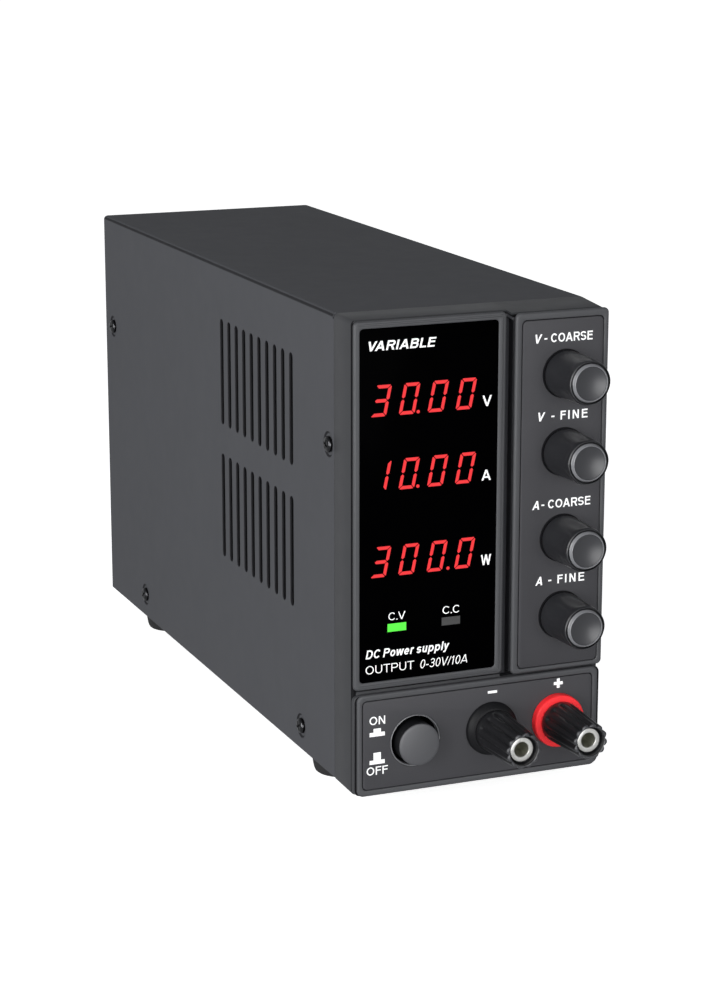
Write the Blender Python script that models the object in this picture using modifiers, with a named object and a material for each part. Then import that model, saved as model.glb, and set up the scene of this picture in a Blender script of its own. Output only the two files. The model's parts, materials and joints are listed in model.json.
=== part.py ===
"""Bench power supply: a folded steel case on rubber feet, with a moulded front, knobs and binding posts.

Frame: metres, +Z up, the front faces -Y, the origin lies under the middle on the plane of the feet.
On the front, a distance called "forward" counts from the bezel's front face towards the user.
"""

import math

import bmesh
import bpy
from mathutils import Matrix, Vector

# ---------------------------------------------------------------- driving dimensions, in metres

CASE_WIDTH = 0.0840
CASE_HEIGHT = 0.1472
CASE_LENGTH = 0.2362
SHEET = 0.0010
SHEET_BEND = 0.0020
GAP = 0.0003

FOOT_HEIGHT = 0.0064
FOOT_RADIUS = 0.0088
FOOT_OFFSET_X = 0.0310
FOOT_FROM_FRONT = (0.0225, 0.1965)

BEZEL_DEPTH = 0.0166
POST_REACH = 0.0237
REAR_REACH = 0.0034

LENGTH = POST_REACH + BEZEL_DEPTH + CASE_LENGTH + REAR_REACH
FRONT = -LENGTH / 2 + POST_REACH
CASE_FRONT = FRONT + BEZEL_DEPTH
CASE_BACK = CASE_FRONT + CASE_LENGTH
CASE_BOTTOM = FOOT_HEIGHT
CASE_TOP = CASE_BOTTOM + CASE_HEIGHT
HALF_WIDTH = CASE_WIDTH / 2
INSIDE_HALF = HALF_WIDTH - SHEET - GAP

# the bezel's base, and the three raised blocks on it, as (left, right, bottom, top)
BASE_SETBACK = 0.0018
BEZEL_BOTTOM = CASE_BOTTOM - 0.0014
DISPLAY_BLOCK = (-0.0423, 0.0075, 0.0402, 0.1539)
KNOB_BLOCK = (0.0107, 0.0423, 0.0389, 0.1526)
LOWER_BLOCK = (-0.0411, 0.0411, BEZEL_BOTTOM, 0.0378)
BLOCK_CORNER = 0.0020
KNOB_SIDE_DROP = 0.0012
SLOT_WIDTH = 0.0024
SLOT_FLOOR = 0.0040
POCKET_DEPTH = 0.0015
FRONT_WALL = 0.0050
BEZEL_WALL = 0.0025
TONGUE_LENGTH = 0.0090
TONGUE_BOTTOM = 0.0240

WINDOW = (-0.0404, 0.0048, 0.0424, 0.1514)
KNOB_PANEL = (0.0131, 0.0404, 0.0403, 0.1500)
TERMINAL_PANEL = (-0.0392, 0.0391, 0.0073, 0.0356)
PANEL_CORNER = 0.0014
PANEL_SETBACK = 0.0002

DISPLAY_X = (-0.0380, 0.0005)
DISPLAY_ROWS = (("voltage_display", 0.1293), ("current_display", 0.1064), ("power_display", 0.0796))

KNOB_X = 0.0275
CONTROLS = (
    ("voltage_coarse", 0.1331),
    ("voltage_fine", 0.1086),
    ("current_coarse", 0.0812),
    ("current_fine", 0.0564),
)
KNOB_LENGTH = 0.0172
KNOB_LIFT = 0.0005
KNOB_BASE_RADIUS = 0.0076
KNOB_FRONT_RADIUS = 0.0065
SHAFT_RADIUS = 0.0030
BUSH_RADIUS = 0.0041
BUSH_HOLE_RADIUS = 0.0045
POT_RADIUS = 0.0080
POT_DEPTH = 0.0085

BUTTON_X = -0.0218
BUTTON_Z = 0.0213
BUTTON_RADIUS = 0.0068
BUTTON_HOLE_RADIUS = 0.0076
BUTTON_REACH = 0.0035

POSTS = (("negative", 0.0040), ("positive", 0.0268))
POST_Z = 0.0220
COLLAR_RADIUS = 0.0086
COLLAR_DEPTH = 0.0025
STUD_RADIUS = 0.0036
STUD_REACH = 0.0220
JACK_RADIUS = 0.0022
JACK_DEPTH = 0.0150
NUT_BACK_RADIUS = 0.0066
NUT_FRONT_RADIUS = 0.0054

VENT_COUNT = 10
VENT_PITCH = 0.00727
VENT_WIDTH = 0.0030
VENT_HEIGHT = 0.0361
VENT_MIDDLE_Y = CASE_FRONT + 0.0692
VENT_MIDDLES_Z = (CASE_BOTTOM + 0.0643, CASE_BOTTOM + 0.1108)

# side screws, as (name, distance behind the case's front edge, height above its bottom edge)
SIDE_SCREWS = (
    ("rear_upper", 0.2273, 0.1058),
    ("rear_lower", 0.1930, 0.0083),
    ("front_upper", 0.0048, 0.1060),
    ("front_lower", 0.0293, 0.0078),
)
DIMPLE_RADIUS = 0.0041
DIMPLE_DEPTH = 0.0005
SCREW_HOLE_RADIUS = 0.0018
SCREW_RADIUS = 0.0015
SCREW_HEAD_RADIUS = 0.0025
SCREW_HEAD_HEIGHT = 0.0014
SCREW_LENGTH = 0.0050

FLANGE_HEIGHT = 0.0146
REAR_FLANGE = 0.0165

FAN_SIZE = 0.0600
FAN_DEPTH = 0.0250
FAN_Z = 0.1080
FAN_BORE_RADIUS = 0.0285
FAN_HOLE_SPACING = 0.0500
FAN_HUB_RADIUS = 0.0130
GUARD_RING_RADII = (0.0100, 0.0150, 0.0200, 0.0250)
GUARD_WIRE = 0.0012

INLET_X = -0.0170
SELECTOR_X = 0.0220
INLET_Z = 0.0370
INLET_CAVITY = (0.0228, 0.0160)
INLET_CAVITY_DEPTH = 0.0160
PIN_LENGTH = 0.0105
SELECTOR_TRAVEL = 0.0050

BOARD_THICKNESS = 0.0016
MAIN_BOARD_Z = CASE_BOTTOM + SHEET + 0.0060

# ---------------------------------------------------------------- scene and materials

for old in list(bpy.data.objects):
    bpy.data.objects.remove(old, do_unlink=True)

PARTS = bpy.data.collections.new("bench_power_supply")
CUTTERS = bpy.data.collections.new("cutters")
bpy.context.scene.collection.children.link(PARTS)
bpy.context.scene.collection.children.link(CUTTERS)


def material(name, colour, roughness, metallic=0.0):
    made = bpy.data.materials.new(name)
    made.use_nodes = True
    shader = made.node_tree.nodes["Principled BSDF"]
    shader.inputs["Base Color"].default_value = (*colour, 1.0)
    shader.inputs["Roughness"].default_value = roughness
    shader.inputs["Metallic"].default_value = metallic
    return made


STEEL_PAINT = material("steel_paint", (0.085, 0.087, 0.092), 0.55)
BEZEL_PLASTIC = material("bezel_plastic", (0.070, 0.070, 0.075), 0.50)
PANEL_PLASTIC = material("panel_plastic", (0.072, 0.072, 0.077), 0.55)
WINDOW_ACRYLIC = material("window_acrylic", (0.002, 0.002, 0.003), 0.06)
KNOB_PLASTIC = material("knob_plastic", (0.050, 0.050, 0.054), 0.40)
BLACK_PLASTIC = material("black_plastic", (0.012, 0.012, 0.013), 0.40)
RED_PLASTIC = material("red_plastic", (0.800, 0.030, 0.035), 0.40)
PLATED_BRASS = material("plated_brass", (0.780, 0.770, 0.740), 0.20, 1.0)
BRASS = material("brass", (0.720, 0.520, 0.220), 0.30, 1.0)
BLACK_SCREW = material("black_screw", (0.030, 0.030, 0.032), 0.35, 0.8)
ZINC = material("zinc", (0.550, 0.560, 0.580), 0.35, 1.0)
RUBBER = material("foot_rubber", (0.012, 0.012, 0.012), 0.80)
BOARD_LAMINATE = material("board_laminate", (0.020, 0.120, 0.050), 0.45)
ALUMINIUM = material("aluminium", (0.600, 0.610, 0.620), 0.35, 1.0)
CORE_TAPE = material("core_tape", (0.550, 0.380, 0.050), 0.50)
DISPLAY_CASE = material("display_case", (0.020, 0.020, 0.020), 0.60)

# ---------------------------------------------------------------- modelling helpers


def add_object(name, bm, location=(0.0, 0.0, 0.0), rotation=(0.0, 0.0, 0.0)):
    mesh = bpy.data.meshes.new(name)
    bm.to_mesh(mesh)
    bm.free()
    made = bpy.data.objects.new(name, mesh)
    made.location = location
    made.rotation_euler = rotation
    PARTS.objects.link(made)
    return made


def paint(piece, finish):
    piece.data.materials.clear()
    piece.data.materials.append(finish)
    return piece


def box(name, low, high, round_axis=None, radius=0.0, segments=2):
    """A box between two corners; the four edges along round_axis can be rounded."""
    low, high = Vector(low), Vector(high)
    bm = bmesh.new()
    bmesh.ops.create_cube(bm, size=1.0)
    bmesh.ops.scale(bm, vec=high - low, verts=bm.verts)
    if round_axis is not None:
        edges = [e for e in bm.edges if abs((e.verts[0].co - e.verts[1].co)[round_axis]) > 1e-6]
        bmesh.ops.bevel(bm, geom=edges, offset=radius, segments=segments, profile=0.5, affect="EDGES")
    return add_object(name, bm, (low + high) / 2)


def plate(name, outline, back, front, radius=0.0, segments=2):
    """A plate parallel to the front: outline is (left, right, bottom, top), depths are in Y."""
    left, right, bottom, top = outline
    axis = 1 if radius else None
    return box(name, (left, front, bottom), (right, back, top), axis, radius, segments)


def rod(name, radius, start, end, sides=16):
    """A cylinder between two points."""
    start, end = Vector(start), Vector(end)
    along = end - start
    bm = bmesh.new()
    bmesh.ops.create_cone(
        bm, cap_ends=True, segments=sides, radius1=radius, radius2=radius, depth=along.length
    )
    for face in bm.faces:
        face.smooth = len(face.verts) == 4
    made = add_object(name, bm, (start + end) / 2)
    made.rotation_mode = "QUATERNION"
    made.rotation_quaternion = along.to_track_quat("Z", "Y")
    return made


def apply_modifiers(piece):
    graph = bpy.context.evaluated_depsgraph_get()
    mesh = bpy.data.meshes.new_from_object(piece.evaluated_get(graph))
    piece.modifiers.clear()
    piece.data = mesh


def turned(name, profile, location, rotation, sides=16, closed=False):
    """A profile of (radius, height) points turned about its own Z, outer side first, from the top down."""
    bm = bmesh.new()
    points = [bm.verts.new((radius, 0.0, height)) for radius, height in profile]
    pairs = list(zip(points, points[1:]))
    if closed:
        pairs.append((points[-1], points[0]))
    for pair in pairs:
        bm.edges.new(pair)
    made = add_object(name, bm, location, rotation)
    screw = made.modifiers.new("turn", "SCREW")
    screw.steps = sides
    screw.render_steps = sides
    screw.use_merge_vertices = True
    screw.merge_threshold = 0.00001
    apply_modifiers(made)
    made.data.shade_smooth()
    made.data.set_sharp_from_angle(angle=math.radians(30.0))
    return made


TOWARDS_USER = (math.pi / 2, 0.0, 0.0)


def turned_on_front(name, profile, x, z, sides=16, closed=False):
    """A turned piece whose axis stands on the front face; profile heights are forward distances."""
    return turned(name, profile, (x, FRONT, z), TOWARDS_USER, sides, closed)


def change(piece, tool, operation):
    """Cuts or joins the tool, and files it with the cutters."""
    step = piece.modifiers.new(tool.name, "BOOLEAN")
    step.operation = operation
    step.object = tool
    PARTS.objects.unlink(tool)
    CUTTERS.objects.link(tool)
    tool.hide_render = True
    tool.display_type = "WIRE"


def cut(piece, *tools):
    for tool in tools:
        change(piece, tool, "DIFFERENCE")


def join(piece, *tools):
    for tool in tools:
        change(piece, tool, "UNION")


def folded_sheet(name, low, high, open_sides, bend_edges, finish):
    """A box of sheet with some sides left open, its folds rounded, thickened inwards."""
    low, high = Vector(low), Vector(high)
    bm = bmesh.new()
    bmesh.ops.create_cube(bm, size=1.0)
    bmesh.ops.scale(bm, vec=high - low, verts=bm.verts)
    gone = []
    for face in bm.faces:
        if tuple(round(part) for part in face.normal) in open_sides:
            gone.append(face)
    bmesh.ops.delete(bm, geom=gone, context="FACES")
    folds = [e for e in bm.edges if bend_edges(e.verts[0].co, e.verts[1].co)]
    bmesh.ops.bevel(bm, geom=folds, offset=SHEET_BEND, segments=3, profile=0.5, affect="EDGES")
    made = add_object(name, bm, (low + high) / 2)
    thicken = made.modifiers.new("sheet", "SOLIDIFY")
    thicken.thickness = SHEET
    thicken.offset = -1.0
    thicken.use_even_offset = True
    return paint(made, finish)


# ---------------------------------------------------------------- folded steel case


def screw_hole_tool(name, y, z, flared):
    """A cutter along X for the side holes; its flared ends press the dimples of the cover."""
    reach = HALF_WIDTH + 0.001
    if not flared:
        return rod(name, SCREW_HOLE_RADIUS, (-reach, y, z), (reach, y, z), 10)
    floor = HALF_WIDTH - DIMPLE_DEPTH
    wide = DIMPLE_RADIUS + 0.0005
    near = DIMPLE_RADIUS - 0.0010
    profile = [
        (0.0, HALF_WIDTH + DIMPLE_DEPTH / 2),
        (wide, HALF_WIDTH + DIMPLE_DEPTH / 2),
        (near, floor),
        (SCREW_HOLE_RADIUS, floor),
        (SCREW_HOLE_RADIUS, -floor),
        (near, -floor),
        (wide, -HALF_WIDTH - DIMPLE_DEPTH / 2),
        (0.0, -HALF_WIDTH - DIMPLE_DEPTH / 2),
    ]
    return turned(name, profile, (0.0, y, z), (0.0, math.pi / 2, 0.0), 12)


def vent_tool():
    """All the ventilation slots as one cutter that passes through both sides."""
    length = CASE_WIDTH + 0.010
    first_y = VENT_MIDDLE_Y - VENT_PITCH * (VENT_COUNT - 1) / 2
    low_z, high_z = VENT_MIDDLES_Z
    slot = box(
        "vent_slots",
        (-length / 2, first_y - VENT_WIDTH / 2, low_z - VENT_HEIGHT / 2),
        (length / 2, first_y + VENT_WIDTH / 2, low_z + VENT_HEIGHT / 2),
        0,
        VENT_WIDTH / 2 * 0.999,
        2,
    )
    for count, step in ((VENT_COUNT, (0.0, VENT_PITCH, 0.0)), (2, (0.0, 0.0, high_z - low_z))):
        row = slot.modifiers.new("row", "ARRAY")
        row.count = count
        row.use_relative_offset = False
        row.use_constant_offset = True
        row.constant_offset_displace = step
    return slot


def make_top_cover():
    def is_fold(a, b):
        return a.z > 0.0 and b.z > 0.0 and abs(a.y - b.y) > 0.01

    cover = folded_sheet(
        "top_cover",
        (-HALF_WIDTH, CASE_FRONT + GAP / 2, CASE_BOTTOM),
        (HALF_WIDTH, CASE_BACK, CASE_TOP),
        ((0, 0, -1), (0, -1, 0), (0, 1, 0)),
        is_fold,
        STEEL_PAINT,
    )
    cut(cover, vent_tool())
    for name, back, up in SIDE_SCREWS:
        cut(cover, screw_hole_tool("dimple_" + name, CASE_FRONT + back, CASE_BOTTOM + up, True))


def make_bottom_chassis():
    def is_fold(a, b):
        return a.z < 0.0 and b.z < 0.0 and abs(a.y - b.y) > 0.01

    tray_top = CASE_BOTTOM + FLANGE_HEIGHT
    tray = folded_sheet(
        "bottom_chassis",
        (-INSIDE_HALF, CASE_FRONT + GAP, CASE_BOTTOM),
        (INSIDE_HALF, CASE_BACK - GAP, tray_top),
        ((0, 0, 1), (0, -1, 0), (0, 1, 0)),
        is_fold,
        STEEL_PAINT,
    )
    room = 0.050
    cut(
        tray,
        box(
            "rear_panel_room",
            (-room, CASE_BACK - REAR_FLANGE - GAP, CASE_BOTTOM + SHEET + GAP / 3),
            (room, CASE_BACK + room, tray_top + room),
        ),
    )
    for name, back, up in SIDE_SCREWS:
        if name.endswith("lower"):
            cut(tray, screw_hole_tool("tray_" + name, CASE_FRONT + back, CASE_BOTTOM + up, False))
    for x in (-FOOT_OFFSET_X, FOOT_OFFSET_X):
        for back in FOOT_FROM_FRONT:
            y = CASE_FRONT + back
            cut(tray, rod("foot_hole", 0.0023, (x, y, 0.0), (x, y, CASE_BOTTOM + 0.003), 10))
    floor = CASE_BOTTOM + SHEET / 2
    for x in (-0.0290, 0.0290):
        for y in (CASE_FRONT + 0.045, CASE_BACK - 0.060):
            join(tray, rod("standoff", 0.0025, (x, y, floor), (x, y, MAIN_BOARD_Z - GAP), 8))


def make_rear_panel():
    def is_fold(a, b):
        behind = a.y > 0.0 and b.y > 0.0
        corner = a.z > 0.0 and b.z > 0.0 and abs(a.y - b.y) > 0.005
        return corner or (behind and not (a.z < 0.0 and b.z < 0.0))

    panel = folded_sheet(
        "rear_panel",
        (-INSIDE_HALF, CASE_BACK - REAR_FLANGE, CASE_BOTTOM + SHEET + GAP),
        (INSIDE_HALF, CASE_BACK - GAP, CASE_TOP - SHEET - GAP),
        ((0, 0, -1), (0, -1, 0)),
        is_fold,
        STEEL_PAINT,
    )
    deep = 0.004
    back, front = CASE_BACK + deep, CASE_BACK - deep
    cut(panel, rod("fan_opening", 0.0280, (0.0, front, FAN_Z), (0.0, back, FAN_Z), 24))
    half = FAN_HOLE_SPACING / 2
    for x in (-half, half):
        for z in (FAN_Z - half, FAN_Z + half):
            cut(panel, rod("fan_screw_hole", 0.0022, (x, front, z), (x, back, z), 8))
    cut(panel, plate("inlet_cutout", around(INLET_X, 0.0276, 0.0204), back, front))
    cut(panel, plate("selector_cutout", around(SELECTOR_X, 0.0206, 0.0116), back, front))
    y = CASE_FRONT + SIDE_SCREWS[0][1]
    cut(panel, screw_hole_tool("rear_flange_hole", y, CASE_BOTTOM + SIDE_SCREWS[0][2], False))


def around(x, width, height):
    """An outline centred on the row of fittings at the back."""
    return (x - width / 2, x + width / 2, INLET_Z - height / 2, INLET_Z + height / 2)


def make_feet():
    peg_top = FOOT_HEIGHT + SHEET + 0.003
    profile = [
        (0.0, peg_top),
        (0.0020, peg_top),
        (0.0020, FOOT_HEIGHT - GAP),
        (FOOT_RADIUS, FOOT_HEIGHT - GAP),
        (FOOT_RADIUS - 0.0006, 0.0014),
        (FOOT_RADIUS - 0.0020, 0.0),
        (0.0, 0.0),
    ]
    for end, back in zip(("front", "rear"), FOOT_FROM_FRONT):
        for side, x in (("left", -FOOT_OFFSET_X), ("right", FOOT_OFFSET_X)):
            place = (x, CASE_FRONT + back, 0.0)
            paint(turned(f"foot_{end}_{side}", profile, place, (0.0, 0.0, 0.0), 14), RUBBER)


def make_side_screws():
    seat = HALF_WIDTH - DIMPLE_DEPTH + 0.0001
    head = SCREW_HEAD_HEIGHT
    profile = [
        (0.0, head),
        (SCREW_HEAD_RADIUS * 0.60, head),
        (SCREW_HEAD_RADIUS, head * 0.35),
        (SCREW_HEAD_RADIUS, 0.0),
        (SCREW_RADIUS, 0.0),
        (SCREW_RADIUS, -SCREW_LENGTH),
        (0.0, -SCREW_LENGTH),
    ]
    for side, sign in (("left", -1.0), ("right", 1.0)):
        for name, back, up in SIDE_SCREWS:
            place = (sign * seat, CASE_FRONT + back, CASE_BOTTOM + up)
            lean = (0.0, sign * math.pi / 2, 0.0)
            paint(turned(f"screw_{side}_{name}", profile, place, lean, 10), BLACK_SCREW)


# ---------------------------------------------------------------- moulded front


def through_front(name, radius, x, z, sides=16):
    """A cutter along Y through the whole front wall."""
    return rod(name, radius, (x, FRONT - 0.003, z), (x, FRONT + FRONT_WALL + 0.003, z), sides)


def make_front_bezel():
    base_front = FRONT + BASE_SETBACK
    bezel = box(
        "front_bezel",
        (-HALF_WIDTH, base_front, BEZEL_BOTTOM),
        (HALF_WIDTH, CASE_FRONT - GAP / 2, CASE_TOP),
        1,
        SHEET_BEND,
        3,
    )
    paint(bezel, BEZEL_PLASTIC)

    drop = box(
        "knob_side_slope",
        (KNOB_BLOCK[0] - 0.0008, base_front - 0.004, CASE_TOP),
        (HALF_WIDTH + 0.004, CASE_FRONT + 0.004, CASE_TOP + 0.010),
    )
    drop.rotation_euler = (math.atan(KNOB_SIDE_DROP / (BEZEL_DEPTH - BASE_SETBACK)), 0.0, 0.0)
    middle_y = drop.location.y
    ride = 0.005 - KNOB_SIDE_DROP * (CASE_FRONT - middle_y) / (BEZEL_DEPTH - BASE_SETBACK)
    drop.location.z = CASE_TOP + ride
    cut(bezel, drop)

    for name, outline in (("display", DISPLAY_BLOCK), ("knob", KNOB_BLOCK), ("lower", LOWER_BLOCK)):
        join(bezel, plate(name + "_block", outline, base_front + 0.0004, FRONT, BLOCK_CORNER, 3))

    tongue = (-INSIDE_HALF, INSIDE_HALF, TONGUE_BOTTOM, CASE_TOP - SHEET - GAP)
    tongue_back = CASE_FRONT + TONGUE_LENGTH
    join(bezel, plate("tongue", tongue, tongue_back, CASE_FRONT - 0.002, SHEET_BEND, 3))

    hollow = INSIDE_HALF - BEZEL_WALL
    cavity = (-hollow, hollow, BEZEL_BOTTOM + BEZEL_WALL, CASE_TOP - SHEET - GAP - BEZEL_WALL)
    cut(bezel, plate("bezel_cavity", cavity, tongue_back + 0.005, FRONT + FRONT_WALL))

    slot_middle = (DISPLAY_BLOCK[1] + KNOB_BLOCK[0]) / 2
    slot = (
        slot_middle - SLOT_WIDTH / 2,
        slot_middle + SLOT_WIDTH / 2,
        LOWER_BLOCK[3] + 0.0010,
        CASE_TOP - 0.0022,
    )
    cut(bezel, plate("deep_slot", slot, FRONT + SLOT_FLOOR, FRONT - 0.001))

    for name, outline in (("window", WINDOW), ("knob", KNOB_PANEL), ("terminal", TERMINAL_PANEL)):
        grown = grow(outline, GAP)
        cut(bezel, plate(name + "_pocket", grown, FRONT + POCKET_DEPTH, FRONT - 0.001, PANEL_CORNER))

    for name, z in CONTROLS:
        cut(bezel, through_front("bezel_hole_" + name, BUSH_HOLE_RADIUS, KNOB_X, z, 14))
    cut(bezel, through_front("bezel_hole_button", BUTTON_HOLE_RADIUS, BUTTON_X, BUTTON_Z, 20))
    for name, x in POSTS:
        cut(bezel, through_front("bezel_hole_" + name, STUD_RADIUS + 0.0007, x, POST_Z, 14))
    for name, z in DISPLAY_ROWS:
        opening = (DISPLAY_X[0] - 0.001, DISPLAY_X[1] + 0.001, z - 0.0083, z + 0.0083)
        cut(bezel, plate("opening_" + name, opening, FRONT + FRONT_WALL + 0.003, FRONT))
    y = CASE_FRONT + SIDE_SCREWS[2][1]
    cut(bezel, screw_hole_tool("tongue_hole", y, CASE_BOTTOM + SIDE_SCREWS[2][2], False))


def grow(outline, by):
    left, right, bottom, top = outline
    return (left - by, right + by, bottom - by, top + by)


def make_front_panels():
    back = FRONT + POCKET_DEPTH - GAP
    front = FRONT + PANEL_SETBACK
    paint(plate("display_window", WINDOW, back, front, PANEL_CORNER, 2), WINDOW_ACRYLIC)

    knob_panel = plate("knob_panel", KNOB_PANEL, back, front, PANEL_CORNER, 2)
    paint(knob_panel, PANEL_PLASTIC)
    for name, z in CONTROLS:
        cut(knob_panel, through_front("panel_hole_" + name, BUSH_HOLE_RADIUS, KNOB_X, z, 14))

    terminal_panel = plate("terminal_panel", TERMINAL_PANEL, back, front, PANEL_CORNER, 2)
    paint(terminal_panel, PANEL_PLASTIC)
    cut(terminal_panel, through_front("panel_hole_button", BUTTON_HOLE_RADIUS, BUTTON_X, BUTTON_Z, 20))
    for name, x in POSTS:
        cut(terminal_panel, through_front("panel_hole_" + name, STUD_RADIUS + 0.0007, x, POST_Z, 14))


# ---------------------------------------------------------------- knobs and their potentiometers


def make_controls():
    face = KNOB_LIFT + KNOB_LENGTH
    shaft_front = 0.0120
    shaft_back = -(FRONT_WALL + 0.0040)
    bush_front = 0.0020
    pot_front = -(FRONT_WALL + GAP)
    pot_back = pot_front - POT_DEPTH
    knob_profile = [
        (0.0, face - 0.0006),
        (KNOB_FRONT_RADIUS * 0.80, face),
        (KNOB_FRONT_RADIUS - 0.0006, face),
        (KNOB_FRONT_RADIUS, face - 0.0010),
        (KNOB_BASE_RADIUS, KNOB_LIFT + 0.0012),
        (KNOB_BASE_RADIUS - 0.0006, KNOB_LIFT),
        (0.0062, KNOB_LIFT),
        (0.0056, KNOB_LIFT + 0.0022),
        (SHAFT_RADIUS + GAP, KNOB_LIFT + 0.0022),
        (SHAFT_RADIUS + GAP, shaft_front + GAP),
        (0.0, shaft_front + GAP),
    ]
    shaft_profile = [
        (0.0, shaft_front),
        (SHAFT_RADIUS, shaft_front),
        (SHAFT_RADIUS, shaft_back),
        (0.0, shaft_back),
    ]
    pot_profile = [
        (BUSH_RADIUS, bush_front),
        (BUSH_RADIUS, pot_front),
        (POT_RADIUS, pot_front),
        (POT_RADIUS, pot_back),
        (0.0, pot_back),
        (0.0, shaft_back - GAP),
        (SHAFT_RADIUS + GAP, shaft_back - GAP),
        (SHAFT_RADIUS + GAP, bush_front),
        (BUSH_RADIUS, bush_front),
    ]
    for name, z in CONTROLS:
        knob = turned_on_front(name + "_knob", knob_profile, KNOB_X, z, 18)
        paint(knob, KNOB_PLASTIC)
        paint(turned_on_front(name + "_shaft", shaft_profile, KNOB_X, z, 12), ZINC)
        paint(turned_on_front(name + "_potentiometer", pot_profile, KNOB_X, z, 12), ZINC)

    board_front = FRONT - pot_back + GAP
    board = (KNOB_X - 0.0100, KNOB_X + 0.0100, 0.0460, 0.1440)
    made = plate("control_board", board, board_front + BOARD_THICKNESS, board_front)
    paint(made, BOARD_LAMINATE)


# ---------------------------------------------------------------- mains button and switch


def make_power_button():
    stem_back = -0.0200
    profile = [
        (0.0, BUTTON_REACH + 0.0003),
        (BUTTON_RADIUS * 0.60, BUTTON_REACH + 0.0001),
        (BUTTON_RADIUS - 0.0005, BUTTON_REACH - 0.0003),
        (BUTTON_RADIUS, BUTTON_REACH - 0.0010),
        (BUTTON_RADIUS, -0.0085),
        (0.0020, -0.0085),
        (0.0020, stem_back),
        (0.0, stem_back),
    ]
    paint(turned_on_front("power_button", profile, BUTTON_X, BUTTON_Z, 20), KNOB_PLASTIC)
    reach = 0.0070
    switch = box(
        "power_switch",
        (BUTTON_X - reach, FRONT + 0.0120, BUTTON_Z - reach),
        (BUTTON_X + reach, FRONT + 0.0300, BUTTON_Z + reach),
    )
    paint(switch, BLACK_PLASTIC)
    hole_end = FRONT - stem_back + 0.0020
    hole = rod("stem_hole", 0.0024, (BUTTON_X, FRONT, BUTTON_Z), (BUTTON_X, hole_end, BUTTON_Z), 12)
    cut(switch, hole)


# ---------------------------------------------------------------- binding posts


def make_binding_posts():
    collar_back = 0.0001
    collar_front = collar_back + COLLAR_DEPTH
    nut_back = collar_front + GAP
    insert_front = 0.0130
    insert_radius = 0.0049
    bore = STUD_RADIUS + GAP
    stud_back = -(FRONT_WALL + 0.0130)
    clamp = -(FRONT_WALL + GAP)
    collar_profile = [
        (COLLAR_RADIUS - 0.0005, collar_front),
        (COLLAR_RADIUS, collar_front - 0.0005),
        (COLLAR_RADIUS, collar_back),
        (bore, collar_back),
        (bore, collar_front),
    ]
    stud_profile = [
        (STUD_RADIUS, STUD_REACH),
        (STUD_RADIUS, stud_back),
        (0.0, stud_back),
        (0.0, STUD_REACH - JACK_DEPTH),
        (JACK_RADIUS, STUD_REACH - JACK_DEPTH),
        (JACK_RADIUS, STUD_REACH),
        (STUD_RADIUS, STUD_REACH),
    ]
    insert_profile = [
        (insert_radius, insert_front),
        (insert_radius, nut_back + 0.0006),
        (bore, nut_back + 0.0006),
        (bore, insert_front),
    ]
    nut_profile = [
        (NUT_FRONT_RADIUS - 0.0003, POST_REACH),
        (NUT_FRONT_RADIUS, POST_REACH - 0.0005),
        (NUT_BACK_RADIUS, nut_back + 0.0010),
        (NUT_BACK_RADIUS - 0.0005, nut_back),
        (insert_radius + GAP, nut_back),
        (insert_radius + GAP, insert_front + GAP),
        (bore + 0.0002, insert_front + GAP),
        (bore + 0.0002, POST_REACH - 0.0022),
        (NUT_FRONT_RADIUS - 0.0008, POST_REACH - 0.0018),
        (NUT_FRONT_RADIUS - 0.0008, POST_REACH),
    ]
    rear_nut_profile = [
        (0.0055, clamp),
        (0.0055, clamp - 0.0030),
        (STUD_RADIUS + 0.0010, clamp - 0.0030),
        (STUD_RADIUS + 0.0010, clamp),
    ]
    for (name, x), colour in zip(POSTS, (BLACK_PLASTIC, RED_PLASTIC)):
        post = name + "_post"
        collar = turned_on_front(post + "_collar", collar_profile, x, POST_Z, 20, True)
        paint(collar, colour)
        stud = turned_on_front(post + "_stud", stud_profile, x, POST_Z, 14)
        paint(stud, PLATED_BRASS)
        wire_y = FRONT - nut_back - 0.0028
        far = STUD_RADIUS + 0.001
        low, high = (x, wire_y, POST_Z - far), (x, wire_y, POST_Z + far)
        cut(stud, rod(post + "_wire_hole", 0.0011, low, high, 8))
        insert = turned_on_front(post + "_insert", insert_profile, x, POST_Z, 14, True)
        paint(insert, BRASS)
        nut = turned_on_front(post + "_nut", nut_profile, x, POST_Z, 18, True)
        paint(nut, BLACK_PLASTIC)
        rear_nut = turned_on_front(post + "_rear_nut", rear_nut_profile, x, POST_Z, 6, True)
        paint(rear_nut, ZINC)


# ---------------------------------------------------------------- fan, guard and rear fittings


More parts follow.
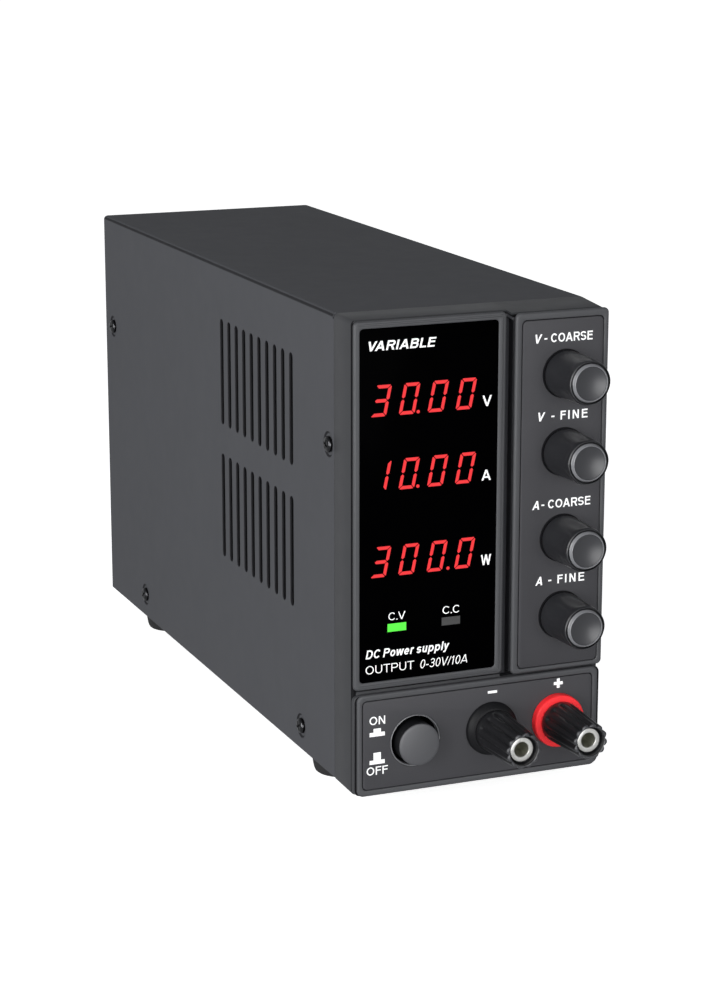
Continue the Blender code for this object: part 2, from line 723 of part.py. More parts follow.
def make_fan():
    back = CASE_BACK - GAP - SHEET - GAP
    front = back - FAN_DEPTH
    half = FAN_SIZE / 2
    frame = plate("fan_frame", (-half, half, FAN_Z - half, FAN_Z + half), back, front, 0.0030, 2)
    paint(frame, BLACK_PLASTIC)
    axis_front, axis_back = (0.0, front - 0.002, FAN_Z), (0.0, back + 0.002, FAN_Z)
    cut(frame, rod("fan_bore", FAN_BORE_RADIUS, axis_front, axis_back, 24))
    strut_front = back - 0.0035
    reach = FAN_BORE_RADIUS + 0.0005
    for turn in (45.0, 135.0):
        strut = box(
            "fan_strut",
            (-reach, strut_front, FAN_Z - 0.0020),
            (reach, back - 0.0005, FAN_Z + 0.0020),
        )
        strut.rotation_euler = (0.0, math.radians(turn), 0.0)
        join(frame, strut)
    hub_front, hub_back = (0.0, strut_front, FAN_Z), (0.0, back, FAN_Z)
    join(frame, rod("fan_motor_base", FAN_HUB_RADIUS - 0.001, hub_front, hub_back, 16))
    spacing = FAN_HOLE_SPACING / 2
    for x in (-spacing, spacing):
        for z in (FAN_Z - spacing, FAN_Z + spacing):
            cut(frame, rod("fan_corner_hole", 0.0021, (x, front - 0.002, z), (x, back + 0.002, z), 8))

    rotor_back = strut_front - 0.0008
    rotor_front = front + 0.0015
    rotor = rod("fan_rotor", FAN_HUB_RADIUS, (0.0, rotor_front, FAN_Z), (0.0, rotor_back, FAN_Z), 24)
    paint(rotor, BLACK_PLASTIC)
    middle = (rotor_front + rotor_back) / 2
    blades = 7
    pitch = math.radians(38.0)
    inner, outer = FAN_HUB_RADIUS - 0.0010, FAN_BORE_RADIUS - 0.0010
    for number in range(blades):
        blade = box("fan_blade", (inner, -0.0085, -0.0006), (outer, 0.0085, 0.0006))
        blade.data.transform(turn_about_x(pitch, (inner + outer) / 2))
        blade.location = (0.0, middle, FAN_Z)
        blade.rotation_euler = (0.0, 2 * math.pi * number / blades, 0.0)
        join(rotor, blade)


def turn_about_x(angle, out):
    """Pitches a blade about its own length and carries it out from the hub's axis."""
    return Matrix.Translation((out, 0.0, 0.0)) @ Matrix.Rotation(angle, 4, "X")


def make_fan_guard():
    """Concentric wires on four radial wires that end in flat ears over the fan's screws."""
    start = CASE_BACK + GAP
    half = GUARD_WIRE / 2
    reach = FAN_HOLE_SPACING / math.sqrt(2) + 0.0030
    guard = box("fan_guard", (-reach, start, FAN_Z - half), (reach, start + GUARD_WIRE, FAN_Z + half))
    guard.rotation_euler = (0.0, math.radians(45.0), 0.0)
    paint(guard, ZINC)
    other = box("guard_wire", (-reach, start, FAN_Z - half), (reach, start + GUARD_WIRE, FAN_Z + half))
    other.rotation_euler = (0.0, math.radians(-45.0), 0.0)
    join(guard, other)
    low = GUARD_WIRE * 0.8
    for radius in GUARD_RING_RADII:
        ring = [
            (radius + half, low + GUARD_WIRE),
            (radius + half, low),
            (radius - half, low),
            (radius - half, low + GUARD_WIRE),
        ]
        away = (-math.pi / 2, 0.0, 0.0)
        join(guard, turned("guard_ring", ring, (0.0, start, FAN_Z), away, 20, True))
    spacing = FAN_HOLE_SPACING / 2
    for x in (-spacing, spacing):
        for z in (FAN_Z - spacing, FAN_Z + spacing):
            join(guard, rod("guard_ear", 0.0036, (x, start, z), (x, start + 0.0010, z), 10))


def make_rear_fittings():
    panel_back = CASE_BACK - GAP
    inlet = plate("mains_inlet", around(INLET_X, 0.0270, 0.0198), panel_back, panel_back - 0.0210)
    paint(inlet, BLACK_PLASTIC)
    flange_front, flange_back = panel_back + GAP, CASE_BACK + REAR_REACH
    join(inlet, plate("inlet_flange", around(INLET_X, 0.0310, 0.0240), flange_back, flange_front - 0.001))
    width, height = INLET_CAVITY
    mouth = around(INLET_X, width, height)
    floor = flange_back - INLET_CAVITY_DEPTH
    cut(inlet, plate("inlet_cavity", mouth, flange_back + 0.001, floor))
    cut(inlet, flange_relief(panel_back, flange_front))
    for x, z in ((INLET_X - 0.0070, -0.0020), (INLET_X, 0.0020), (INLET_X + 0.0070, -0.0020)):
        low = (x - 0.0010, floor - 0.001, INLET_Z + z - 0.0020)
        high = (x + 0.0010, floor + PIN_LENGTH, INLET_Z + z + 0.0020)
        join(inlet, box("inlet_pin", low, high))

    travel = SELECTOR_TRAVEL
    body = plate("voltage_selector_body", around(SELECTOR_X, 0.0200, 0.0110), panel_back, panel_back - 0.0120)
    paint(body, BLACK_PLASTIC)
    front = panel_back + GAP
    join(body, plate("selector_flange", around(SELECTOR_X, 0.0300, 0.0140), front + 0.0012, front - 0.001))
    cut(body, selector_relief(panel_back, front))
    slot = around(SELECTOR_X, 0.0080 + travel + 2 * GAP, 0.0064 + 2 * GAP)
    cut(body, plate("selector_slot", slot, front + 0.005, front - 0.0060))
    middle = SELECTOR_X - travel / 2
    slider = plate("voltage_selector_slider", around(middle, 0.0080, 0.0064), front + 0.0010, front - 0.0057)
    paint(slider, RED_PLASTIC)


def flange_relief(panel_back, flange_front):
    """Nothing of the flange may sink into the panel: this trims what the union leaves below it."""
    tool = plate("flange_relief", around(INLET_X, 0.0400, 0.0300), flange_front, panel_back - 0.003)
    keep = plate("flange_keep", around(INLET_X, 0.0270, 0.0198), flange_front + 0.001, panel_back - 0.004)
    cut(tool, keep)
    return tool


def selector_relief(panel_back, flange_front):
    tool = plate("selector_relief", around(SELECTOR_X, 0.0400, 0.0200), flange_front, panel_back - 0.003)
    keep = plate("selector_keep", around(SELECTOR_X, 0.0200, 0.0110), flange_front + 0.001, panel_back - 0.004)
    cut(tool, keep)
    return tool


# ---------------------------------------------------------------- boards and what they carry


def make_displays():
    front = FRONT + POCKET_DEPTH + GAP
    back = front + 0.0080
    for name, z in DISPLAY_ROWS:
        outline = (DISPLAY_X[0], DISPLAY_X[1], z - 0.0073, z + 0.0073)
        paint(plate(name, outline, back, front), DISPLAY_CASE)
    board = (-0.0378, 0.0045, 0.0440, 0.1450)
    board_front = back + GAP
    paint(plate("display_board", board, board_front + BOARD_THICKNESS, board_front), BOARD_LAMINATE)


def make_inside():
    start = CASE_FRONT + 0.030
    end = CASE_BACK - 0.045
    bottom = MAIN_BOARD_Z
    top = bottom + BOARD_THICKNESS
    paint(box("main_board", (-0.0360, start, bottom), (0.0360, end, top), None), BOARD_LAMINATE)

    seat = top + GAP
    low_y = start + 0.062
    transformer = box("transformer", (-0.0180, low_y, seat), (0.0180, low_y + 0.034, seat + 0.034), 2, 0.002, 1)
    paint(transformer, CORE_TAPE)
    core_low = (-0.0210, low_y + 0.010, seat + 0.005)
    join(transformer, box("transformer_core", core_low, (0.0210, low_y + 0.024, seat + 0.030)))

    fins = 6
    sink_y = start + 0.008
    sink = box("heatsink", (-0.0300, sink_y, seat), (-0.0260, sink_y + 0.048, seat + 0.045))
    paint(sink, ALUMINIUM)
    for number in range(fins):
        y = sink_y + number * 0.009
        join(sink, box("heatsink_fin", (-0.0265, y, seat + 0.001), (-0.0120, y + 0.003, seat + 0.044)))

    for side, y in (("front", low_y + 0.050), ("rear", low_y + 0.076)):
        place = (0.0150, y, seat)
        profile = [(0.0, 0.036), (0.0102, 0.036), (0.0110, 0.035), (0.0110, 0.0), (0.0, 0.0)]
        capacitor = turned(f"bulk_capacitor_{side}", profile, place, (0.0, 0.0, 0.0), 14)
        paint(capacitor, BLACK_PLASTIC)


make_top_cover()
make_bottom_chassis()
make_rear_panel()
make_feet()
make_side_screws()
make_front_bezel()
make_front_panels()
make_controls()
make_power_button()
make_binding_posts()
make_fan()
make_fan_guard()
make_rear_fittings()
make_displays()
make_inside()
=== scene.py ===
"""Bench power supply: the finished look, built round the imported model.

Lengths here are millimetres in the model's own frame, and MM turns them into Blender's metres.
"Depth" counts from the plane of the bezel's front face into the case, and "forward" towards the user.
"""

import json
import math

import bmesh
import bpy
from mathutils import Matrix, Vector


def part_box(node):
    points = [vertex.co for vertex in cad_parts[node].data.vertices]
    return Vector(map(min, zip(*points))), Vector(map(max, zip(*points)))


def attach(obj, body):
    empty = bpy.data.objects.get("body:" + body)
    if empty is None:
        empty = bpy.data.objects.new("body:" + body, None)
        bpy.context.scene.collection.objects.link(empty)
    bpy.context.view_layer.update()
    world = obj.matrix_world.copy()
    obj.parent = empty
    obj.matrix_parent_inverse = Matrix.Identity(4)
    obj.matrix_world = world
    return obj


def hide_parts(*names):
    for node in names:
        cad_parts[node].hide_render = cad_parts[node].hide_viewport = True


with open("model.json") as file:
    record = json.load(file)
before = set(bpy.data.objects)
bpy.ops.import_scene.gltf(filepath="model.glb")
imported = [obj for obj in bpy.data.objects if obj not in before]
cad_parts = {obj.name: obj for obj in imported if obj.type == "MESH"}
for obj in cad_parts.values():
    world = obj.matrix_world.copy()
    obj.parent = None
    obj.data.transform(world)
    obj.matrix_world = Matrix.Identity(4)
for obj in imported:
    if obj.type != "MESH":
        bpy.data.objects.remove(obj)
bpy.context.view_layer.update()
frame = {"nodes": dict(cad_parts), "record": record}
SCENE = bpy.context.scene
MM = 0.001

# ---------------- places read from the model, in millimetres


def low(node):
    return [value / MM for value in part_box(node)[0]]


def high(node):
    return [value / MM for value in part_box(node)[1]]


def middle(node):
    return [(a + b) / 2 for a, b in zip(low(node), high(node))]


FRONT = low("front_bezel")[1]
CASE_FRONT = low("top_cover")[1] - 0.15
CASE_BACK = high("top_cover")[1]
CASE_BOTTOM = low("top_cover")[2]
CASE_TOP = high("top_cover")[2]
HALF_WIDTH = high("top_cover")[0]
BEZEL_BACK = CASE_FRONT - FRONT - 0.04

KNOBS = ("voltage_coarse", "voltage_fine", "current_coarse", "current_fine")
POSTS = ("negative_post", "positive_post")
# The button sits this far below the middle of its hole.
BUTTON_SAG = 0.3
# In metres: points of one piece that are nearer than this become one.
WELD_DISTANCE = 0.0000005


def axis(node):
    x, _, z = middle(node)
    return x, z


BUTTON_X, BUTTON_Z = axis("power_button")
KNOB_AXES = [axis(name + "_knob") for name in KNOBS]
POST_AXES = [axis(name + "_stud") for name in POSTS]

# ---------------- materials


def feed(tree, node, inputs):
    """Gives each named socket of a node a plain value or the output that drives it."""
    for socket, source in inputs.items():
        if isinstance(source, bpy.types.NodeSocket):
            tree.links.new(source, node.inputs[socket])
        else:
            node.inputs[socket].default_value = source


def new_node(tree, kind, inputs):
    node = tree.nodes.new("ShaderNode" + kind)
    feed(tree, node, inputs)
    return node


def ramp(tree, factor, *stops):
    """A colour ramp through (position, colour) stops, its two ends first."""
    node = new_node(tree, "ValToRGB", {"Fac": factor})
    elements = node.color_ramp.elements
    for element, (position, _) in zip(elements, stops):
        element.position = position
    for element, (_, colour) in zip(elements, stops):
        element.color = (*colour, 1.0)
    for position, colour in stops[2:]:
        elements.new(position).color = (*colour, 1.0)
    return node.outputs["Color"]


def toned(colour, factor):
    return tuple(channel * factor for channel in colour)


class Finish:
    """A Principled material whose colour, roughness and bump come from noise in the piece's own space."""

    def __init__(self, name, roughness, metallic=0.0, specular=0.5):
        self.material = bpy.data.materials.new(name)
        self.material.use_nodes = True
        self.tree = self.material.node_tree
        self.shader = self.tree.nodes["Principled BSDF"]
        self.feed({"Roughness": roughness, "Metallic": metallic, "Specular IOR Level": specular})
        self.place = new_node(self.tree, "TexCoord", {}).outputs["Object"]

    def feed(self, inputs):
        feed(self.tree, self.shader, inputs)

    def noise(self, scale, detail, stretch=None):
        place = self.place
        if stretch:
            place = new_node(self.tree, "Mapping", {"Vector": place, "Scale": stretch}).outputs["Vector"]
        inputs = {"Vector": place, "Scale": scale, "Detail": detail}
        return new_node(self.tree, "TexNoise", inputs).outputs["Fac"]

    def colour(self, factor, base, dark, light):
        stops = (0.35, toned(base, dark)), (0.65, toned(base, light))
        self.feed({"Base Color": ramp(self.tree, factor, *stops)})

    def gloss(self, factor, least, most):
        inputs = {"Value": factor, "From Min": 0.3, "From Max": 0.7, "To Min": least, "To Max": most}
        self.feed({"Roughness": new_node(self.tree, "MapRange", inputs).outputs["Result"]})

    def bump(self, factor, depth):
        node = new_node(self.tree, "Bump", {"Height": factor, "Distance": depth * MM})
        self.feed({"Normal": node.outputs["Normal"]})


def finish(name, colour, roughness, spread, grain, depth, gloss, **shader):
    """Most of the object's finishes: slow mottling in the colour, fine grain in the surface."""
    made = Finish(name, roughness, **shader)
    made.colour(made.noise(55.0, 4.0), colour, 1.0 - spread, 1.0 + spread)
    made.gloss(made.noise(160.0, 3.0), max(roughness - gloss, 0.02), min(roughness + gloss, 1.0))
    if depth:
        made.bump(made.noise(grain, 2.0), depth)
    return made.material


def brushed(name, colour, roughness, stretch, grain, depth):
    """Turned or brushed metal: noise drawn out along the marks of the tool."""
    made = Finish(name, roughness, metallic=1.0)
    marks = made.noise(grain, 3.0, stretch)
    made.colour(marks, colour, 0.86, 1.06)
    made.gloss(marks, roughness - 0.08, roughness + 0.08)
    made.bump(marks, depth)
    return made.material


def glowing(name, colour, strength):
    """A lit segment: a diffuser whose light is a little uneven over its length."""
    made = Finish(name, 0.5, specular=0.1)
    uneven = made.noise(500.0, 1.0)
    made.colour(uneven, colour, 0.02, 0.03)
    light = ramp(made.tree, uneven, (0.3, toned(colour, 0.9)), (0.7, colour))
    made.feed({"Emission Color": light, "Emission Strength": strength})
    return made.material


# Each finish: name, colour, roughness, spread of the colour, scale of the grain, depth of the grain in
# millimetres, spread of the roughness. Brushed metals: name, colour, roughness, stretch, scale, depth.
STEEL = finish("steel_powder_coat", (0.064, 0.0652, 0.0715), 0.6, 0.015, 1900.0, 0.012, 0.015, specular=0.12)
FRAME = finish("bezel_frames", (0.052, 0.053, 0.057), 0.46, 0.02, 3200.0, 0.01, 0.02, specular=0.3)
CHANNEL_SHADE = finish("channel_shade", (0.026, 0.0265, 0.03), 0.6, 0.03, 3200.0, 0.01, 0.02, specular=0.1)
COLLAR = finish("collar_matt", (0.006, 0.0061, 0.007), 0.5, 0.05, 3800.0, 0.008, 0.04, specular=0.15)
# Painted shade for the cover: the walls of its vents and the slopes of its dimples.
SHEET_PAINTED_SHADE = finish("sheet_edge_shaded", (0.013, 0.013, 0.015), 0.6, 0.05, 1900.0, 0.012, 0.03, specular=0.2)
BEZEL = finish("bezel_moulding", (0.0355, 0.0362, 0.0395), 0.46, 0.02, 3200.0, 0.01, 0.02, specular=0.3)
PANEL = finish("panel_film", (0.0385, 0.0382, 0.0423), 0.55, 0.03, 4200.0, 0.01, 0.03, specular=0.25)
# Painted shade: near black, laid on necks, grooves, recesses and gap pieces where shade falls.
PAINTED_SHADE = finish("bezel_groove", (0.005, 0.005, 0.006), 0.7, 0.05, 3000.0, 0.01, 0.04, specular=0.1)
WINDOW = finish("window_black", (0.0003, 0.0003, 0.0004), 0.12, 0.1, 600.0, 0.0, 0.02, specular=0.001)
KNOB = finish("knob_satin", (0.0165, 0.017, 0.0195), 0.34, 0.04, 4500.0, 0.006, 0.03)
KNOB_FACE = finish("knob_face", (0.033, 0.0335, 0.037), 0.4, 0.03, 5200.0, 0.005, 0.03, specular=0.42)
# Painted highlight: light grey for the knobs' chamfer rings and the trim round the button.
RING_HIGHLIGHT = finish("knob_ring", (0.16, 0.162, 0.172), 0.32, 0.03, 5200.0, 0.005, 0.03, specular=0.7)
BUTTON_FACE = finish("button_face", (0.048, 0.0485, 0.054), 0.5, 0.03, 5200.0, 0.005, 0.03, specular=0.7)
# Painted shade: near black for the button's side in its hole and the groove at the knobs' front edge.
PAINTED_SIDE_SHADE = finish("button_side", (0.005, 0.0052, 0.0062), 0.4, 0.05, 4500.0, 0.006, 0.04, specular=0.3)
BLACK = finish("black_moulding", (0.0085, 0.0086, 0.0098), 0.31, 0.06, 3800.0, 0.004, 0.03, specular=0.6)
# Painted highlight: lighter than the black moulding, for the nuts' front rims.
NUT_RIM_HIGHLIGHT = finish("nut_rim", (0.033, 0.0335, 0.037), 0.36, 0.06, 3800.0, 0.008, 0.05)
RED = finish("red_moulding", (0.82, 0.023, 0.03), 0.42, 0.03, 2600.0, 0.008, 0.05, specular=0.3)
SCREW = finish("screw_black_oxide", (0.05, 0.05, 0.053), 0.22, 0.1, 2600.0, 0.006, 0.06, metallic=1.0)
# Foam filters behind the vents, near black so that they also stand as painted shade in the vents.
FILTER_SHADE = finish("filter_foam", (0.0035, 0.0035, 0.0038), 0.9, 0.3, 1400.0, 0.3, 0.05, specular=0.05)
RUBBER = finish("foot_rubber_matt", (0.0085, 0.0085, 0.009), 0.75, 0.1, 1500.0, 0.04, 0.06)
INK = finish("white_ink", (0.92, 0.92, 0.92), 0.6, 0.01, 3000.0, 0.004, 0.04)
LABEL_INK = finish("window_ink", (0.94, 0.94, 0.94), 0.6, 0.01, 3000.0, 0.004, 0.04)
RED_LIT = glowing("segment_red", (1.0, 0.048, 0.054), 1.0)
GREEN_LIT = glowing("indicator_green", (0.125, 1.0, 0.08), 1.05)
UNLIT = finish("indicator_unlit", (0.029, 0.029, 0.029), 0.45, 0.05, 2600.0, 0.01, 0.04)
# Painted sheen: a light, half-diffuse colour that makes the studs' front faces read as bright plated metal.
SOCKET_SHEEN = finish("socket_face", (0.52, 0.518, 0.5), 0.3, 0.03, 1800.0, 0.006, 0.05, metallic=0.3)
NICKEL = brushed("nickel_turned", (0.9, 0.89, 0.86), 0.24, (1.0, 9.0, 1.0), 700.0, 0.006)
JACK_BORE = brushed("nickel_bore", (0.56, 0.56, 0.49), 0.46, (1.0, 0.12, 1.0), 2600.0, 0.02)
BRASS = brushed("brass_turned", (0.7, 0.5, 0.21), 0.3, (1.0, 9.0, 1.0), 700.0, 0.006)
ZINC = brushed("zinc_plate", (0.56, 0.57, 0.59), 0.34, (1.0, 1.0, 6.0), 500.0, 0.01)
ALUMINIUM = brushed("aluminium_extruded", (0.6, 0.61, 0.62), 0.36, (1.0, 1.0, 0.08), 1500.0, 0.015)
BOARD = finish("board_laminate_green", (0.015, 0.09, 0.038), 0.4, 0.18, 900.0, 0.03, 0.08)
TAPE = finish("winding_tape", (0.52, 0.35, 0.045), 0.45, 0.12, 500.0, 0.06, 0.08)
DISPLAY_BODY = finish("display_body", (0.016, 0.016, 0.0165), 0.55, 0.08, 2200.0, 0.015, 0.05)
FLOOR = finish("studio_floor", (0.86, 0.86, 0.86), 0.85, 0.004, 60.0, 0.0, 0.02, specular=0.1)
FLOOR_SHADER = FLOOR.node_tree.nodes["Principled BSDF"]
feed(FLOOR.node_tree, FLOOR_SHADER, {"Emission Color": (1.0, 1.0, 1.0, 1.0), "Emission Strength": 0.8})

CAD_FINISHES = {
    "steel_paint": STEEL,
    "bezel_plastic": BEZEL,
    "panel_plastic": PANEL,
    "window_acrylic": WINDOW,
    "knob_plastic": KNOB,
    "black_plastic": BLACK,
    "red_plastic": RED,
    "plated_brass": NICKEL,
    "brass": BRASS,
    "black_screw": SCREW,
    "zinc": ZINC,
    "foot_rubber": RUBBER,
    "board_laminate": BOARD,
    "aluminium": ALUMINIUM,
    "core_tape": TAPE,
    "display_case": DISPLAY_BODY,
}

SLOT_OF = {part["node"]: part["material_slot"] for part in frame["record"]["subparts"]}
BODIES = frame["record"]["behaviour"]["bodies"]
BODY_OF = {member: body for body, members in BODIES.items() for member in members}
SMOOTH_ANGLE = 32.0


def smooth(mesh, angle=SMOOTH_ANGLE):
    """Shades smooth, except over edges sharper than the angle in degrees."""
    mesh.shade_smooth()
    mesh.set_sharp_from_angle(angle=math.radians(angle))


for node_name, cad_object in frame["nodes"].items():
    cad_object.data.materials.clear()
    cad_object.data.materials.append(CAD_FINISHES[SLOT_OF[node_name]])
    smooth(cad_object.data)

# ---------------- mesh helpers


def solid(name, points, faces, *finishes, angle=SMOOTH_ANGLE):
    """A mesh object from points in millimetres, with its faces turned outwards."""
    mesh = bpy.data.meshes.new(name)
    mesh.from_pydata([Vector(point) * MM for point in points], [], faces)
    bm = bmesh.new()
    bm.from_mesh(mesh)
    bmesh.ops.remove_doubles(bm, verts=bm.verts, dist=WELD_DISTANCE)
    bmesh.ops.recalc_face_normals(bm, faces=bm.faces)
    bm.to_mesh(mesh)
    bm.free()
    made = bpy.data.objects.new(name, mesh)
    SCENE.collection.objects.link(made)
    for one in finishes:
        mesh.materials.append(one)
    smooth(mesh, angle)
    return made


def skin(loops, closed_chain=False):
    """Points and faces of a skin over a chain of equal closed loops, capped unless the chain closes."""
    count = len(loops[0])
    points = [point for loop in loops for point in loop]
    faces = []
    for row in range(len(loops) if closed_chain else len(loops) - 1):
        here, there = row * count, (row + 1) % len(loops) * count
        for k in range(count):
            after = (k + 1) % count
            faces.append((here + k, here + after, there + after, there + k))
    if not closed_chain:
        faces.append(tuple(range(count)))
        faces.append(tuple(range(len(points) - count, len(points))))
    return points, faces


def merge(*skins):
    """Several skins as one set of points and faces."""
    points, faces = [], []
    for more_points, more_faces in skins:
        shift = len(points)
        points.extend(more_points)
        faces.extend(tuple(index + shift for index in face) for face in more_faces)
    return points, faces


def arc(x, z, radius, start, end, steps):
    """Points along an arc, its angles in degrees."""
    turn = math.radians(end - start) / steps
    first = math.radians(start)
    angles = [first + turn * step for step in range(steps + 1)]
    return [(x + radius * math.cos(a), z + radius * math.sin(a)) for a in angles]


def centred(x, z, width, height):
    return (x - width / 2, x + width / 2, z - height / 2, z + height / 2)


def grown(outline, by):
    left, right, bottom, top = outline
    return (left - by, right + by, bottom - by, top + by)


def bar(left, right, bottom, top):
    return [(left, bottom), (right, bottom), (right, top), (left, top)]


def rounded(outline, inset=0.0, corner=2.0, steps=7):
    """A rectangle (left, right, bottom, top) with round corners, as (x, z) points."""
    left, right, bottom, top = outline
    left, right, bottom, top = left + inset, right - inset, bottom + inset, top - inset
    r = max(corner - inset, 0.15)
    return (
        arc(right - r, bottom + r, r, -90.0, 0.0, steps)
        + arc(right - r, top - r, r, 0.0, 90.0, steps)
        + arc(left + r, top - r, r, 90.0, 180.0, steps)
        + arc(left + r, bottom + r, r, 180.0, 270.0, steps)
    )


def at_y(flat, y):
    """(x, z) points placed at that y."""
    return [(x, y, z) for x, z in flat]


def at_depth(flat, depth):
    """(x, z) points placed that far behind the bezel's front face."""
    return at_y(flat, FRONT + depth)


def stacked(outline, corner, stations, steps=7, origin=FRONT):
    """Loops of one rounded rectangle at each (depth, inset)."""
    return [at_y(rounded(outline, inset, corner, steps), origin + depth) for depth, inset in stations]


def rounding(radius, steps=4):
    """(setback, inset) pairs of a rounded edge, from the side face to the front face."""
    turns = [math.pi / 2 * step / steps for step in range(steps + 1)]
    return [(radius - radius * math.sin(a), radius - radius * math.cos(a)) for a in turns]


DIRECTIONS = {
    "front": (Vector((1, 0, 0)), Vector((0, 0, 1)), Vector((0, -1, 0))),
    "back": (Vector((-1, 0, 0)), Vector((0, 0, 1)), Vector((0, 1, 0))),
    "up": (Vector((1, 0, 0)), Vector((0, 1, 0)), Vector((0, 0, 1))),
    "left": (Vector((0, -1, 0)), Vector((0, 0, 1)), Vector((-1, 0, 0))),
    "right": (Vector((0, 1, 0)), Vector((0, 0, 1)), Vector((1, 0, 0))),
}


def ring(base, direction, radius, height, steps, wave=None):
    """One loop of a turned piece; wave changes the radius by angle and height."""
    across, up, along = DIRECTIONS[direction]
    centre = Vector(base) + along * height
    loop = []
    for step in range(steps):
        angle = 2.0 * math.pi * step / steps
        r = radius if wave is None else wave(radius, angle, height)
        loop.append(centre + across * (r * math.cos(angle)) + up * (r * math.sin(angle)))
    return loop


def turned(name, base, direction, profile, *finishes, steps=64, wave=None, angle=SMOOTH_ANGLE, closed=False):
    """A piece turned about an axis: profile is a list of (radius, height above the base)."""
    loops = [ring(base, direction, r, h, steps, wave) for r, h in profile]
    return solid(name, *skin(loops, closed), *finishes, angle=angle)


def ease(part):
    """Smooth step from 0 to 1."""
    part = min(max(part, 0.0), 1.0)
    return part * part * (3.0 - 2.0 * part)


def turned_tool(base, direction, profile, steps=48):
    return turned("tool", base, direction, profile, steps=steps)


def slab(name, outline, corner, stations, *finishes, steps=7, origin=FRONT, closed=False):
    """A block with rounded corners, as thick and as softened as its (depth, inset) stations say."""
    return solid(name, *skin(stacked(outline, corner, stations, steps, origin), closed), *finishes)


def rod_tool(base, direction, radius, length, steps):
    return turned_tool(base, direction, [(0.0, length), (radius, length), (radius, 0.0), (0.0, 0.0)], steps)


def prism_tool(flat, start, end):
    return solid("tool", *skin([at_y(flat, start), at_y(flat, end)]))


def block_tool(lowest, highest):
    return prism_tool(bar(lowest[0], highest[0], lowest[2], highest[2]), lowest[1], highest[1])


def combine(target, tool, operation):
    step = target.modifiers.new("step", "BOOLEAN")
    step.operation = operation
    step.object = tool
    graph = bpy.context.evaluated_depsgraph_get()
    mesh = bpy.data.meshes.new_from_object(target.evaluated_get(graph))
    target.modifiers.clear()
    target.data = mesh
    bpy.data.objects.remove(tool, do_unlink=True)
    smooth(mesh)


def cut(target, *tools):
    for tool in tools:
        combine(target, tool, "DIFFERENCE")


def paint_faces(thing, index, wanted):
    """Gives the faces that wanted(centre in mm, normal) picks another of the piece's finishes."""
    for face in thing.data.polygons:
        if wanted(face.center / MM, face.normal):
            face.material_index = index


def from_axis(centre, x, z):
    return math.hypot(centre.x - x, centre.z - z)


def stands_for(thing, node):
    """The piece rides on its node's body and replaces the node."""
    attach(thing, BODY_OF[node])
    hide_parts(node)


def on_case(thing):
    """The piece rides on the case and stands for no node."""
    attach(thing, "case")


# ---------------- folded cover with its vents

SHEET = 0.7
VENT_COUNT = 10
VENT_PITCH = 7.27
VENT_WIDTH = 3.0
VENT_HEIGHT = 36.1
VENT_CENTRE_DEPTH = 69.2
VENT_ROWS_UP = (64.3, 110.8)
SIDE_SCREWS = ("rear_upper", "rear_lower", "front_upper", "front_lower")


def cover_outline():
    """The folded sheet's section: up the outside, over the top, and back along the inside."""
    half, bend, steps = HALF_WIDTH, 1.5, 8
    low_z, high_z = CASE_BOTTOM, CASE_TOP - bend
    outside = [(-half, low_z)] + arc(-half + bend, high_z, bend, 180.0, 90.0, steps)
    outside += arc(half - bend, high_z, bend, 90.0, 0.0, steps) + [(half, low_z)]
    inside = [(half - SHEET, low_z)] + arc(half - bend, high_z, bend - SHEET, 0.0, 90.0, steps)
    inside += arc(-half + bend, high_z, bend - SHEET, 90.0, 180.0, steps) + [(-half + SHEET, low_z)]
    return outside + inside


def vent_loop(x, y, z, grow):
    """The round-ended outline of a vent, in the plane of that x."""
    r = VENT_WIDTH / 2 + grow
    reach = VENT_HEIGHT / 2 - VENT_WIDTH / 2
    flat = arc(y, z + reach, r, 0.0, 180.0, 9) + arc(y, z - reach, r, 180.0, 360.0, 9)
    return [(x, a, b) for a, b in flat]


def make_cover():
    outline, half = cover_outline(), HALF_WIDTH
    cover = solid("cover_sheet", *skin([at_y(outline, y) for y in (CASE_FRONT, CASE_BACK)]), STEEL, SHEET_PAINTED_SHADE)
    walls = ((-half - 0.4, 0.55), (-half + 0.15, 0.0), (half - 0.15, 0.0), (half + 0.4, 0.55))
    first_vent = CASE_FRONT + VENT_CENTRE_DEPTH - VENT_PITCH * (VENT_COUNT - 1) / 2
    slots = []
    for up in VENT_ROWS_UP:
        for number in range(VENT_COUNT):
            y = CASE_FRONT + VENT_CENTRE_DEPTH + VENT_PITCH * (number - (VENT_COUNT - 1) / 2)
            slots.append(skin([vent_loop(x, y, CASE_BOTTOM + up, grow) for x, grow in walls]))
    cut(cover, solid("tool", *merge(*slots)))
    dimple = ((0.0, 0.4), (4.35, 0.4), (4.15, 0.03), (4.0, -0.1), (3.7, -0.4), (3.4, -0.5), (0.0, -0.5))
    for side, x in (("left", -half), ("right", half)):
        for place in SIDE_SCREWS:
            _, y, z = middle(f"screw_{side}_{place}")
            cut(cover, turned_tool((x, y, z), side, dimple))
    for sign in (-1.0, 1.0):
        near, far = sorted((sign * (half + 1.0), sign * (half - 1.3)))
        relief = (near, CASE_FRONT - 0.5, CASE_TOP - 1.7), (far, CASE_FRONT + 1.0, CASE_TOP + 1.0)
        cut(cover, block_tool(*relief))

    def shaded(centre, normal):
        """Painted shade on the sheet: the walls of the vents, and the slopes of the dimples."""
        wall = half - SHEET < abs(centre.x) < half - 0.2 and abs(normal.x) < 0.3
        beyond_first = centre.y - first_vent + VENT_PITCH / 2
        if wall and 0.0 < beyond_first < VENT_PITCH * VENT_COUNT and centre.z > CASE_BOTTOM + 40.0:
            return True
        return 0.05 < half - abs(centre.x) < 0.48 and 0.05 < abs(normal.x) < 0.97

    paint_faces(cover, 1, shaded)
    stands_for(cover, "top_cover")


